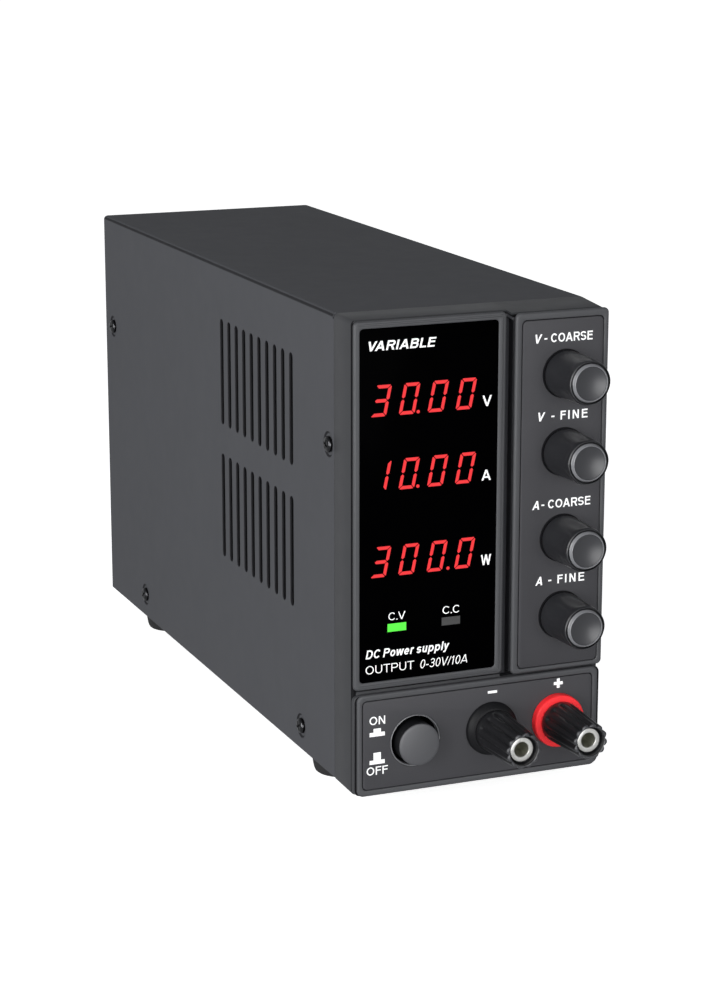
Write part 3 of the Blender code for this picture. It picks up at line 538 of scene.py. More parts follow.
def make_side_screws():
    head = 1.4
    profile = [(0.0, head), (1.2, head - 0.02), (1.85, head - 0.11), (2.25, head - 0.32), (2.45, head - 0.62)]
    profile += [(2.5, head - 0.9), (2.5, 0.0), (1.5, 0.0), (1.5, -5.0), (0.0, -5.0)]
    for side in ("left", "right"):
        for place, twist in zip(SIDE_SCREWS, (12.0, 38.0, 71.0, 25.0)):
            node = f"screw_{side}_{place}"
            _, y, z = middle(node)
            seat = (high(node)[0] - head if side == "right" else low(node)[0] + head, y, z)
            screw = turned(f"side_screw_{side}_{place}", seat, side, profile, SCREW, PAINTED_SHADE, steps=48)
            cut(screw, cross_tool(seat, side, head, math.radians(twist), 1.6, 0.36))
            # The recess walls get the near-black painted shade.
            paint_faces(screw, 1, lambda centre, normal, seat=seat: in_recess(centre, normal, seat))
            stands_for(screw, node)


def cross_tool(seat, direction, top, twist, reach, half_slot):
    """A tapered cross recess that reaches one head height into a screw."""
    across, up, along = DIRECTIONS[direction]
    outline = []
    for quarter in range(4):
        for a, b in ((reach, -half_slot), (reach, half_slot), (half_slot, half_slot)):
            turn = twist + math.pi / 2 * quarter
            outline.append((a * math.cos(turn) - b * math.sin(turn), a * math.sin(turn) + b * math.cos(turn)))
    loops = []
    for height, size in ((top + 0.3, 1.05), (top - 0.25, 0.95), (top - 1.15, 0.35)):
        centre = Vector(seat) + along * height
        loops.append([centre + across * (u * size) + up * (v * size) for u, v in outline])
    return solid("tool", *skin(loops))


def in_recess(centre, normal, seat):
    """The walls of a side screw's cross recess, painted near black as shade: near the axis and not on the
    head's face.
    """
    away = Vector(seat) - centre
    return math.hypot(away.y, away.z) < 1.7 and abs(away.x) < 1.39 and abs(normal.x) < 0.75


def make_feet():
    top = high("foot_front_left")[2]
    floor_of_case = CASE_BOTTOM - 0.3
    profile = [(0.0, top), (2.0, top), (2.0, floor_of_case), (9.0, floor_of_case), (9.2, 5.8)]
    profile += [(9.15, 4.6), (8.75, 2.2), (8.5, 1.2), (8.2, 0.55), (7.7, 0.15), (7.0, 0.0), (0.0, 0.0)]
    for place in ("front_left", "front_right", "rear_left", "rear_right"):
        node = "foot_" + place
        x, y, _ = middle(node)
        stands_for(turned("rubber_" + node, (x, y, 0.0), "up", profile, RUBBER), node)


# ---------------- moulded front

# Outlines seen from the front: left, right, bottom, top.
DISPLAY_BLOCK = (-42.3, 7.55, 39.5, 153.47)
KNOB_BLOCK = (10.68, 42.3, 38.5, 152.6)
LOWER_BLOCK = (-41.13, 41.13, 5.04, 37.85)
WINDOW_EDGE = (-40.4, 4.95, 41.85, 151.25)
KNOB_PANEL = (13.03, 40.37, 40.25, 150.1)
TERMINAL_PANEL = (-39.26, 39.02, 7.25, 35.7)
CHANNEL = (7.55, 10.68, 37.9, 151.6)
CHANNEL_FLOOR = 5.0
GROOVE_FLOOR = 4.2
BASE_SETBACK = 1.8
NECK_START, NECK_INSET = 2.6, 1.1
STEP_MIDDLE, STEP_HALF = 9.4, 0.9
KNOB_SIDE_DROP = 1.2
FRONT_WALL = 5.0
POCKET_DEPTH = 1.5
KNOB_HOLE = 4.5
BUTTON_HOLE = 7.85
POST_HOLE = 4.3


def base_outline(depth, inset):
    """The bezel's base in a plane parallel to the front: its top steps down on the knobs' side."""
    slope = KNOB_SIDE_DROP * (BEZEL_BACK - depth) / (BEZEL_BACK - BASE_SETBACK)
    bottom = CASE_BOTTOM - 1.0 - 0.36 * (BEZEL_BACK - depth) / BEZEL_BACK + inset
    half, top = HALF_WIDTH - inset, CASE_TOP - inset
    r = max(1.5 - inset, 0.5)
    flat = arc(half - r, bottom + r, r, -90.0, 0.0, 8)
    flat += arc(half - r, top - slope - r, r, 0.0, 90.0, 8)
    flat += [(STEP_MIDDLE + STEP_HALF, top - slope), (STEP_MIDDLE - STEP_HALF, top)]
    flat += arc(-half + r, top - r, r, 90.0, 180.0, 8)
    flat += arc(-half + r, bottom + r, r, 180.0, 270.0, 8)
    return at_depth(flat, depth)


def framed_block(outline, corner, pocket, pocket_corner, beaded):
    """A raised block with soft edges and a pocket for its panel, as one closed skin."""
    loops = stacked(outline, corner, ((1.86, 1.7), (1.86, 0.95), (1.12, 0.12), (0.95, 0.0)))
    loops += stacked(outline, corner, rounding(0.62, 5))
    if beaded:
        bead_from = outline[1] - 3.0
        for inset, setback in ((0.75, 0.0), (0.9, 0.3), (1.3, 0.3), (1.45, 0.0)):
            flat = rounded(outline, inset, corner)
            loops.append([(x, FRONT + (setback if x > bead_from else 0.0), z) for x, z in flat])
    lip = [(setback, -inset) for setback, inset in reversed(rounding(0.3, 3))]
    loops += stacked(pocket, pocket_corner, lip + [(POCKET_DEPTH, 0.0)])
    loops += stacked(pocket, pocket_corner + 1.6, [(POCKET_DEPTH, 1.6)])
    return skin(loops, closed_chain=True)


def drill(target, radius, *axes):
    """Holes from in front of the bezel through its front wall."""
    profile = [(0.0, 3.0), (radius, 3.0), (radius, -12.0), (0.0, -12.0)]
    for x, z in axes:
        cut(target, turned_tool((x, FRONT, z), "front", profile, 56))


def bezel_tools():
    """The hollow behind the front wall, and the grooves between the three blocks."""
    inner, floor_z, roof_z, deep = 38.2, 7.5, 149.8, FRONT + 25.0
    left, right, bottom, top = CHANNEL
    channel = [(left, bottom), (right, bottom), (right, top - 1.3), (right - 0.8, top - 0.8)]
    channel += [(left + 1.2, top - 0.05), (left, top)]
    hollows = (
        (-inner, left - 2.2, FRONT_WALL),
        (right + 2.2, inner, FRONT_WALL),
        (left - 3.2, right + 3.2, CHANNEL_FLOOR + 1.5),
    )
    grooves = ((-41.2, left + 0.3, 38.7, 40.5), (right - 0.3, 41.2, 37.9, 39.2))
    tools = [block_tool((a, FRONT + wall, floor_z), (b, deep, roof_z)) for a, b, wall in hollows]
    tools.append(prism_tool(channel, FRONT - 1.0, FRONT + CHANNEL_FLOOR))
    for a, b, low_z, high_z in grooves:
        tools.append(block_tool((a, FRONT - 1.0, low_z), (b, FRONT + GROOVE_FLOOR, high_z)))
    return tools


def make_bezel_base():
    stations = [(BEZEL_BACK, 0.1), (BEZEL_BACK - 0.04, 0.03), (BEZEL_BACK - 0.1, 0.0)]
    stations += [(NECK_START + 0.6, 0.0), (NECK_START + 0.35, 0.06), (NECK_START + 0.15, 0.2)]
    stations += [(NECK_START, 0.45), (NECK_START, NECK_INSET), (BASE_SETBACK, NECK_INSET)]
    loops = [base_outline(depth, inset) for depth, inset in stations]
    base = solid("bezel_base", *skin(loops), BEZEL, PAINTED_SHADE, CHANNEL_SHADE)
    cut(base, *bezel_tools())
    drill(base, KNOB_HOLE, *KNOB_AXES)
    drill(base, BUTTON_HOLE, (BUTTON_X, BUTTON_Z))
    drill(base, POST_HOLE, *POST_AXES)
    left, right, _, top = CHANNEL

    # Painted shade: near black on the necks behind the blocks, the grooves under them and the walls of the
    # button's hole.
    def shaded(centre, normal):
        depth = centre.y - FRONT
        if depth < BASE_SETBACK + 0.1 and normal.y < -0.9:
            return False
        if depth < NECK_START + (0.5 if abs(normal.x) > 0.4 and centre.z > 40.0 else 0.05):
            return True
        in_groove = 37.6 < centre.z < 40.6 and depth < GROOVE_FLOOR + 0.1 and abs(centre.x) < 41.3
        near_button = from_axis(centre, BUTTON_X, BUTTON_Z) < BUTTON_HOLE + 0.1
        return (in_groove or (near_button and depth < FRONT_WALL + 0.1)) and normal.z < 0.8

    def in_channel(centre, normal):
        depth = centre.y - FRONT
        return left - 0.05 < centre.x < right + 0.05 and depth < CHANNEL_FLOOR + 0.1 and centre.z < top

    paint_faces(base, 1, shaded)
    paint_faces(base, 2, in_channel)
    stands_for(base, "front_bezel")


def make_bezel():
    make_bezel_base()
    blocks = merge(
        framed_block(DISPLAY_BLOCK, 1.5, WINDOW_EDGE, 1.2, True),
        framed_block(KNOB_BLOCK, 1.6, grown(KNOB_PANEL, 0.22), 1.5, False),
        framed_block(LOWER_BLOCK, 2.2, grown(TERMINAL_PANEL, 0.22), 1.5, False),
    )
    on_case(solid("bezel_blocks", *blocks, FRAME))

    lower_rim = (-HALF_WIDTH, HALF_WIDTH, 5.2, 37.8)
    stations = ((2.7, 0.0), (1.1, 0.0), (0.92, 0.05), (0.8, 0.2), (0.8, 2.0), (2.7, 2.0))
    rim = slab("bezel_lower_rim", lower_rim, 2.2, stations, BEZEL, PAINTED_SHADE, closed=True)
    # Its front faces are painted near black as the shade in the step beside the lower block.
    paint_faces(rim, 1, lambda centre, normal: normal.y < -0.8)
    on_case(rim)

    # A near-black tongue behind the cover's corner reliefs: painted shade for the gap seen there.
    tongue, start, end = (-40.7, 40.7, 24.0, 152.3), BEZEL_BACK - 1.0, BEZEL_BACK + 9.0
    stations = ((start, 0.0), (end, 0.0), (end, 2.5), (start, 2.5))
    on_case(slab("bezel_tongue", tongue, 2.6, stations, PAINTED_SHADE, closed=True))


def flush_plate(name, outline, corner, face, edge, one_finish):
    """A thin panel with a small rounding on its front edge."""
    front_edge = [(face + setback, inset) for setback, inset in rounding(edge, 3)]
    return slab(name, outline, corner, [(1.2, 0.0)] + front_edge, one_finish)


def make_panels():
    window = flush_plate("window_pane", grown(WINDOW_EDGE, -0.04), 1.2, 0.15, 0.12, WINDOW)
    stands_for(window, "display_window")
    panel = flush_plate("knob_plate", KNOB_PANEL, 1.5, 0.08, 0.16, PANEL)
    # A near-black ring under each knob: a painted shadow round the knob's foot on the panel.
    seat = [(7.6, 0.32), (7.65, 0.2), (7.65, -0.09), (4.4, -0.09), (4.4, 0.32)]
    drill(panel, KNOB_HOLE, *KNOB_AXES)
    for name, (x, z) in zip(KNOBS, KNOB_AXES):
        on_case(turned(name + "_washer", (x, FRONT, z), "front", seat, PAINTED_SHADE, closed=True))
    stands_for(panel, "knob_panel")
    panel = flush_plate("terminal_plate", TERMINAL_PANEL, 1.4, 0.08, 0.16, PANEL)
    drill(panel, BUTTON_HOLE + 0.62, (BUTTON_X, BUTTON_Z))
    drill(panel, POST_HOLE, *POST_AXES)
    stands_for(panel, "terminal_panel")
    # The trim round the button's hole takes the painted highlight colour.
    section = [(0.46, -0.12), (0.42, 0.0), (0.32, 0.04), (0.22, 0.0), (0.12, -0.14), (0.06, -1.75)]
    trim = [(BUTTON_HOLE + grow, height) for grow, height in section + [(0.46, -1.75)]]
    base = (BUTTON_X, FRONT, BUTTON_Z)
    on_case(turned("button_trim", base, "front", trim, RING_HIGHLIGHT, steps=96, closed=True))


# ---------------- knobs, button and binding posts

RIDGES = 6
RIDGE_START = math.radians(5.0)
KNOB_TIP = FRONT - low("voltage_coarse_knob")[1]
KNOB_RADIUS, KNOB_TAPER = 7.3, 0.02
KNOB_HOLLOW, KNOB_DISH = 0.62, 0.95
BUTTON_RADIUS, BUTTON_DOME = 6.75, 0.4
BEYOND = 100.0


def in_band(x, z, nearest, farthest, behind=FRONT):
    """A test for faces between two distances from an axis and in front of that y."""
    return lambda centre, normal: centre.y < behind and nearest < from_axis(centre, x, z) < farthest


def grip_wave(radius, angle, height):
    """Six wide hollows along the knob's side, fading out towards its base and its front rim."""
    if radius < 6.31:
        return radius
    growth = ease((height - 3.5) / 8.0) * (1.0 - 0.85 * ease((height - 14.2) / 1.6))
    hollow = 0.5 - 0.5 * math.cos(RIDGES * (angle - RIDGE_START))
    return radius - KNOB_HOLLOW * growth * hollow


def knob_profile():
    """Foot, tapered side, rounded front edge, groove, bright chamfer and dished face."""
    lift, tip = 0.5, KNOB_TIP
    profile = [(0.0, lift), (6.9, lift), (7.1, lift + 0.1), (7.24, lift + 0.3), (KNOB_RADIUS, lift + 0.7)]
    heights = (2.4, 4.0, 5.5, 7.0, 8.5, 10.0, 11.5, 13.0, 14.5, 15.4)
    profile += [(KNOB_RADIUS - KNOB_TAPER * (height - heights[0]), height) for height in heights]
    front = [(6.92, 1.5), (6.88, 1.2), (6.8, 1.03), (6.68, 0.92), (6.56, 0.9)]
    front += [(6.46, 0.98), (6.4, 1.5), (6.16, 1.5), (6.08, 1.25), (6.02, 1.1)]
    front += [(5.9, 1.0), (5.58, 0.24), (5.52, 0.09), (5.44, 0.01), (5.37, 0.0)]
    front += [(5.3, 0.04), (5.22, 0.3), (5.14, 0.32), (5.04, 0.22)]
    dish = [5.0 * (1.0 - step / 11) for step in range(12)]
    front += [(radius, 0.2 + KNOB_DISH * (1.0 - (radius / 5.0) ** 2)) for radius in dish]
    return profile + [(radius, tip - setback) for radius, setback in front]


def make_knobs():
    face = FRONT - KNOB_TIP
    finishes = (KNOB, KNOB_FACE, RING_HIGHLIGHT, PAINTED_SIDE_SHADE)
    for name, (x, z) in zip(KNOBS, KNOB_AXES):
        base = (x, FRONT, z)
        knob = turned(name + "_grip", base, "front", knob_profile(), *finishes, steps=132, wave=grip_wave)
        paint_faces(knob, 1, in_band(x, z, 0.0, 5.2))
        # Painted highlight on the chamfer ring.
        paint_faces(knob, 2, in_band(x, z, 5.2, 5.92, face + 1.3))
        # Painted shade in the groove between the body and the ring.
        paint_faces(knob, 3, in_band(x, z, 6.1, 6.5, face + 1.55))
        stands_for(knob, name + "_knob")


def make_button():
    """A shallow dome with a soft edge on a side painted near black as shade, and the plunger behind it."""
    reach, steps = FRONT - low("power_button")[1] + 0.1, 8
    outward = [step / steps for step in range(steps + 1)]
    profile = [((BUTTON_RADIUS - 0.3) * out, reach - BUTTON_DOME * out**2) for out in outward]
    for smaller, setback in ((0.15, 0.46), (0.05, 0.58), (0.0, 0.8)):
        profile.append((BUTTON_RADIUS - smaller, reach - setback))
    profile += [(BUTTON_RADIUS, -8.5), (2.0, -8.5), (2.0, -20.0), (0.0, -20.0)]
    base = (BUTTON_X, FRONT, BUTTON_Z - BUTTON_SAG)
    button = turned("button_cap", base, "front", profile, PAINTED_SIDE_SHADE, BUTTON_FACE, steps=96)
    paint_faces(button, 1, in_band(BUTTON_X, BUTTON_Z, 0.0, BEYOND, FRONT - reach + 0.85))
    stands_for(button, "power_button")


NUT_RADIUS, NUT_TAPER = 6.62, 0.045
SOCKET_RADIUS, SOCKET_DEPTH = 2.38, 15.0
THREAD_PITCH, THREAD_RADIUS, THREAD_ROOT = 1.0, 3.65, 3.42
FLUTES, FLUTE_DEPTH = 12, 0.8
FLUTE_START = math.radians(-8.0)


def flute_wave(radius, angle, height):
    """Rounded flutes round the nut with sharp valleys, none on its flange or its bore."""
    if radius < 5.0:
        return radius
    deep = FLUTE_DEPTH * ease((height - 4.3) / 2.2)
    return radius - deep * (1.0 - abs(math.cos(FLUTES / 2 * (angle - FLUTE_START))))


def make_collar(post, base):
    front = FRONT - low(post + "_collar")[1]
    if post == "positive_post":
        one_finish = RED
        collar = [(7.95, front), (8.3, front - 0.06), (8.5, front - 0.3), (8.56, front - 0.7)]
    else:
        one_finish = COLLAR
        collar = [(6.9, front), (7.15, front - 0.1), (8.35, front - 1.35), (8.56, front - 1.7)]
    collar += [(8.6, 0.08), (3.9, 0.08), (3.9, front)]
    made = turned(post + "_washer", base, "front", collar, one_finish, steps=96, closed=True)
    stands_for(made, post + "_collar")


def make_nut(post, base):
    tip, back = FRONT - low(post + "_nut")[1], FRONT - high(post + "_nut")[1]
    nut = [(5.3, back), (6.35, back), (6.58, back + 0.14), (6.66, back + 0.5), (6.64, back + 1.1)]
    heights = (4.2, 4.5, 4.9, 5.3, 5.7, 6.1, 6.6, 9.0, 12.0, 15.0, 18.0, 20.5)
    nut += [(NUT_RADIUS - NUT_TAPER * (height - heights[0]), height) for height in heights]
    nut += [(5.84, tip - 0.9), (5.8, tip - 0.35), (5.62, tip - 0.1), (5.45, tip)]
    nut += [(4.82, tip), (4.68, tip - 0.08), (4.6, tip - 0.3), (4.5, tip - 2.6), (4.1, tip - 2.9)]
    nut += [(4.1, 13.4), (5.2, 13.3), (5.2, back + 0.1)]
    shape = {"steps": 240, "wave": flute_wave, "angle": 44.0, "closed": True}
    made = turned(post + "_fluted_nut", base, "front", nut, BLACK, NUT_RIM_HIGHLIGHT, **shape)
    # The front rim gets the painted highlight.
    paint_faces(made, 1, in_band(base[0], base[2], 4.7, BEYOND, FRONT - tip + 0.3))
    stands_for(made, post + "_nut")


def make_stud(post, base):
    """The plated stud: its socket, its thread as stacked ridges, and the wire hole across it."""
    x, _, z = base
    face = FRONT - low(post + "_stud")[1]
    stud = [(0.0, face - SOCKET_DEPTH), (SOCKET_RADIUS, face - SOCKET_DEPTH), (SOCKET_RADIUS, face - 0.35)]
    stud += [(2.46, face - 0.12), (2.58, face)]
    stud += [(3.6, face), (3.78, face - 0.1), (3.85, face - 0.35), (3.85, face - 0.9)]
    pitch, top, bottom = THREAD_PITCH, face - 1.2, -17.0
    for number in range(int((top - bottom) / pitch)):
        height = top - number * pitch
        stud += [(THREAD_RADIUS, height), (THREAD_ROOT, height - pitch * 0.45)]
        stud.append((THREAD_RADIUS, height - pitch * 0.9))
    stud += [(3.6, bottom - 0.8), (0.0, bottom - 0.8)]
    made = turned(post + "_socket_stud", base, "front", stud, NICKEL, JACK_BORE, SOCKET_SHEEN, steps=64)
    nut_back = FRONT - high(post + "_nut")[1]
    cut(made, rod_tool((x, FRONT - nut_back - 2.8, z - 5.0), "up", 1.1, 10.0, 24))

    def in_bore(centre, normal):
        return from_axis(centre, x, z) < SOCKET_RADIUS + 0.05 and centre.y > FRONT - face + 0.2

    paint_faces(made, 1, in_bore)
    # The stud's front face gets the painted sheen.
    paint_faces(made, 2, lambda centre, normal: centre.y < FRONT - face + 0.4 and normal.y < -0.3)
    stands_for(made, post + "_stud")


def make_posts():
    for post, (x, z) in zip(POSTS, POST_AXES):
        for make in (make_collar, make_nut, make_stud):
            make(post, (x, FRONT, z))


# ---------------- lettering and display


def flat_shape(name, outlines, one_finish, depth, thickness=0.02):
    """Flat filled shapes of (x, z) points, one closed skin for each outline."""
    skins = [skin([at_depth(outline, depth), at_depth(outline, depth - thickness)]) for outline in outlines]
    return solid(name, *merge(*skins), one_finish)


def beam(x0, z0, x1, z1, across):
    """A slanting stroke with level ends."""
    half = across / 2
    return [(x0 - half, z0), (x0 + half, z0), (x1 + half, z1), (x1 - half, z1)]


def bow(x, z, across, up, start, end, weight):
    """Part of an elliptical ring; across and up reach to its outer edge."""
    steps = max(int(abs(end - start) / 12), 4)
    outer, inner = [], []
    for step in range(steps + 1):
        angle = math.radians(start + (end - start) * step / steps)
        outer.append((x + across * math.cos(angle), z + up * math.sin(angle)))
        inner.append((x + (across - weight) * math.cos(angle), z + (up - weight * 0.88) * math.sin(angle)))
    return outer + inner[::-1]


FULL_RING = ((0.0, 182.0), (180.0, 362.0))
LOW_HEIGHT = 0.74
ROUND_SIDE, STRAIGHT_SIDE = 0.05, 0.085
ROUND_LETTERS = {
    "C": (0.92, 1.0, ((38.0, 322.0),)),
    "O": (0.98, 1.0, FULL_RING),
    "0": (0.66, 1.0, FULL_RING),
    "o": (0.7, LOW_HEIGHT, FULL_RING),
    "e": (0.68, LOW_HEIGHT, ((0.0, 320.0),)),
}


def glyph(letter, t):
    """Outlines of a plain grotesque letter of cap height 1 and stroke t, its width and its side bearings.

    Slanting strokes are a little heavier than upright ones, and level strokes a little lighter.
    """
    d, b, x = t * 1.1, t * 0.86, LOW_HEIGHT

    def slant(x0, z0, x1, z1):
        return beam(x0, z0, x1, z1, d)

    def level(left, right, bottom):
        return bar(left, right, bottom, bottom + b)

    def stem(left=0.0, top=1.0, bottom=0.0):
        return bar(left, left + t, bottom, top)

    def bowl(right, middle_z, across, up):
        return bow(right - across, middle_z, across, up, -90.0, 90.0, t)

    if letter == "A":
        legs = [slant(0.5, 1.0, d / 2, 0.0), slant(0.5, 1.0, 1.0 - d / 2, 0.0)]
        return legs + [level(0.26, 0.74, 0.22)], 1.0, 0.0, 0.0
    if letter == "V":
        return [slant(d / 2, 1.0, 0.465, 0.0), slant(0.93 - d / 2, 1.0, 0.465, 0.0)], 0.93, 0.0, 0.0
    if letter == "y":
        legs = [slant(d / 2, x, 0.35, 0.03), slant(0.7 - d / 2, x, 0.23, -0.26)]
        return legs + [level(0.05, 0.25, -0.27)], 0.7, 0.0, 0.0
    if letter in "Ww":
        high, w = (1.0, 1.31) if letter == "W" else (x, 1.04)
        strokes = ((d / 2, 0.27), (w / 2, 0.27), (w / 2, 0.73), (w - d / 2, 0.73))
        return [slant(top, high, w * foot, 0.0) for top, foot in strokes], w, 0.0, 0.0
    if letter == "D":
        shapes = [stem(), level(t, 0.43, 1.0 - b), level(t, 0.43, 0.0), bowl(0.88, 0.5, 0.46, 0.5)]
        return shapes, 0.88, STRAIGHT_SIDE, ROUND_SIDE
    if letter in "BPR":
        w, right, waist = {"B": (0.84, 0.81, 0.45), "P": (0.8, 0.8, 0.42), "R": (0.86, 0.86, 0.42)}[letter]
        up = (1.0 - waist) / 2
        shapes = [stem(), level(t, right - up, 1.0 - b), level(t, right - up, waist)]
        shapes.append(bowl(right, waist + up, up, up))
        if letter == "B":
            up = (waist + b) / 2
            shapes += [level(t, w - up, 0.0), bowl(w, up, up, up)]
        if letter == "R":
            shapes.append(slant(0.5, waist + b / 2, w - d / 2 + 0.02, 0.0))
        return shapes, w, STRAIGHT_SIDE, ROUND_SIDE * 0.6
    if letter in "EFL":
        w = {"E": 0.76, "F": 0.7, "L": 0.68}[letter]
        shapes = [stem()]
        if letter != "L":
            shapes += [level(t, w, 1.0 - b), level(t, w - 0.05, 0.47)]
        if letter != "F":
            shapes.append(level(t, w, 0.0))
        return shapes, w, STRAIGHT_SIDE, 0.03 if letter == "E" else 0.0
    if letter in "Il":
        return [stem()], t, STRAIGHT_SIDE, STRAIGHT_SIDE
    if letter == "N":
        shapes = [stem(), stem(0.82 - t), slant(d / 2, 1.0, 0.82 - d / 2, 0.0)]
        return shapes, 0.82, STRAIGHT_SIDE, STRAIGHT_SIDE
    if letter == "T":
        return [level(0.0, 0.83, 1.0 - b), stem(0.415 - t / 2, 1.0 - b)], 0.83, 0.0, 0.0
    if letter in "Uu":
        high, w = (1.0, 0.82) if letter == "U" else (x, 0.62)
        r, bend = w / 2, w / 2 * 0.9
        shapes = [stem(0.0, high, bend), stem(w - t, high, 0.0 if letter == "u" else bend)]
        return shapes + [bow(r, bend, r, bend, 180.0, 360.0, t)], w, STRAIGHT_SIDE, STRAIGHT_SIDE
    if letter in ROUND_LETTERS:
        w, high, sweeps = ROUND_LETTERS[letter]
        shapes = [bow(w / 2, high / 2, w / 2, high / 2, start, end, t) for start, end in sweeps]
        if letter == "e":
            shapes.append(bar(t * 0.7, w - 0.01, high / 2 - b * 0.42, high / 2 + b * 0.42))
        return shapes, w, ROUND_SIDE, ROUND_SIDE * 0.5 if letter == "C" else ROUND_SIDE
    if letter in "Ss":
        w, high = (0.82, 1.0) if letter == "S" else (0.62, x)
        half, r = w / 2, (high + t * 0.88) / 4
        upper, lower = (high - r, 22.0, 262.0), (r, 82.0, -158.0)
        shapes = [bow(half, z, half, r, start, end, t) for z, start, end in (upper, lower)]
        return shapes, w, ROUND_SIDE, ROUND_SIDE
    if letter == "r":
        return [stem(0.0, x), bow(0.34, x - 0.3, 0.34, 0.3, 75.0, 180.0, t)], 0.43, STRAIGHT_SIDE, 0.0
    if letter == "p":
        ring_halves = [bow(0.36, x / 2, 0.36, x / 2, start, end, t) for start, end in FULL_RING]
        return [stem(0.0, x, -0.27)] + ring_halves, 0.72, STRAIGHT_SIDE, ROUND_SIDE
    if letter == "1":
        return [stem(0.2), beam(0.28, 0.99, 0.02, 0.76, t * 0.9)], 0.4, ROUND_SIDE, STRAIGHT_SIDE
    if letter == "3":
        shapes = [bow(0.34, 0.73, 0.31, 0.27, -80.0, 155.0, t), bow(0.34, 0.28, 0.34, 0.28, -155.0, 85.0, t)]
        return shapes + [bar(0.22, 0.38, 0.51 - b / 2, 0.51 + b / 2)], 0.68, ROUND_SIDE, ROUND_SIDE
    if letter == "/":
        return [beam(t * 0.35, 0.0, 0.38 - t * 0.35, 1.0, t * 0.8)], 0.38, 0.0, 0.0
    if letter == "-":
        return [level(0.0, 0.38, 0.3)], 0.38, 0.04, 0.04
    return [bar(0.0, d, 0.0, d)], d, ROUND_SIDE, ROUND_SIDE


TIGHT_PAIRS = {"VA": 0.12, "LE": -0.02, "AR": -0.03, "FF": -0.02}
WORD_SPACE = 0.4


def lettering(name, text, box, one_finish, depth, slant=0.0, weight=0.2, tracking=0.06):
    """Words fitted to a box (left, right, baseline, cap height) and laid on the front at that depth."""
    cursor, before, placed = 0.0, None, []
    for letter in text:
        if letter == " ":
            cursor += WORD_SPACE + tracking
            before = None
            continue
        shapes, width, bearing, after = glyph(letter, weight)
        if before is not None:
            cursor += before[1] + bearing + tracking - TIGHT_PAIRS.get(before[0] + letter, 0.0)
        for shape in shapes:
            placed.append([(a + cursor + slant * b, b) for a, b in shape])
        cursor += width
        before = (letter, after)
    across = [a for shape in placed for a, _ in shape]
    first, span = min(across), max(across) - min(across)
    left, right, bottom, top = box
    skins = []
    for number, shape in enumerate(placed):
        fitted = [(left + (a - first) / span * (right - left), bottom + b * (top - bottom)) for a, b in shape]
        lift = depth - 0.001 * (number % 5)
        skins.append(skin([at_depth(fitted, lift), at_depth(fitted, lift - 0.02)]))
    return solid(name, *merge(*skins), one_finish)


UP = CASE_BOTTOM
PANEL_INK_DEPTH = 0.07
PANEL_MARK_DEPTH = PANEL_INK_DEPTH + 0.01
WINDOW_INK_DEPTH = 0.14
LIT_DEPTH = WINDOW_INK_DEPTH + 0.01
# Each knob's letter and word, then the middle (x, height over the case's bottom) and width of the line.
CONTROL_LABELS = (
    ("V", "COARSE", 26.95, 138.0, 19.5),
    ("V", "FINE", 27.07, 113.7, 16.9),
    ("A", "COARSE", 27.09, 85.9, 20.1),
    ("A", "FINE", 27.09, 61.5, 17.0),
)
# Shares of the line's width: end of the letter, start and end of the dash, start of the word; tracking.
LABEL_PARTS = {"COARSE": (0.12, 0.158, 0.208, 0.272, 0.04), "FINE": (0.14, 0.264, 0.326, 0.45, 0.22)}
PANEL_CAP = 2.75


def panel_word(name, text, box, *style):
    on_case(lettering(name, text, box, INK, PANEL_INK_DEPTH, *style))


def panel_mark(name, *outlines):
    on_case(flat_shape(name, outlines, INK, PANEL_MARK_DEPTH))


def window_word(name, text, box, *style):
    on_case(lettering(name, text, box, LABEL_INK, WINDOW_INK_DEPTH, *style))


def lit_shape(name, outlines, one_finish):
    on_case(flat_shape(name, outlines, one_finish, LIT_DEPTH))


def rectangle(x, z, width, height):
    return bar(*centred(x, z, width, height))


def make_control_labels():
    """Beside each knob: a slanting letter, a dash and a word, each over its share of the line's width."""
    for knob, (letter, word, x, z, width) in zip(KNOBS, CONTROL_LABELS):
        left, right, bottom, top = centred(x, z + UP, width, PANEL_CAP)
        letter_end, dash_start, dash_end, word_start, tracking = LABEL_PARTS[word]
        dash_x = left + width * (dash_start + dash_end) / 2
        panel_word(f"label_{knob}_letter", letter, (left, left + width * letter_end, bottom, top), 0.22)
        dash = rectangle(dash_x, z + UP - 0.15, width * (dash_end - dash_start), 0.46)
        panel_mark(f"label_{knob}_dash", dash)
        place = (left + width * word_start, right, bottom, top)
        panel_word(f"label_{knob}_word", word, place, 0.0, 0.19, tracking)


def make_panel_lettering():
    make_control_labels()
    panel_mark("mark_minus", rectangle(4.36, 27.35 + UP, 3.15, 0.82))
    arm, half = 1.55, 0.5
    cross = []
    for across, up in ((-1, -1), (1, -1), (1, 1), (-1, 1)):
        corner = [(arm * across, half * up), (half * across, half * up), (half * across, arm * up)]
        cross += corner if across == up else corner[::-1]
    panel_mark("mark_plus", [(27.25 + a, 27.4 + UP + b) for a, b in cross])
    for word, x, z, width in (("ON", -34.53, 23.03, 5.2), ("OFF", -34.52, 6.79, 7.1)):
        panel_word("label_" + word.lower(), word, centred(x, z + UP, width, 2.65), 0.0, 0.16, 0.05)
    for name, z, block in (("pressed", 18.55, 1.25), ("released", 9.55, 2.45)):
        plate = rectangle(-34.56, z + UP, 5.05, 1.3)
        cap = rectangle(-34.56, z + UP + 0.63 + block / 2, 2.45, block)
        panel_mark("pictogram_" + name, plate, cap)


SEGMENTS = {"0": "abcdef", "1": "bc", "3": "abcdg"}
DIGIT_HEIGHT, DIGIT_WIDTH, STROKE, LEAN = 9.55, 5.2, 1.02, 0.205
DIGIT_X = (-33.5, -24.25, -14.85, -5.62)


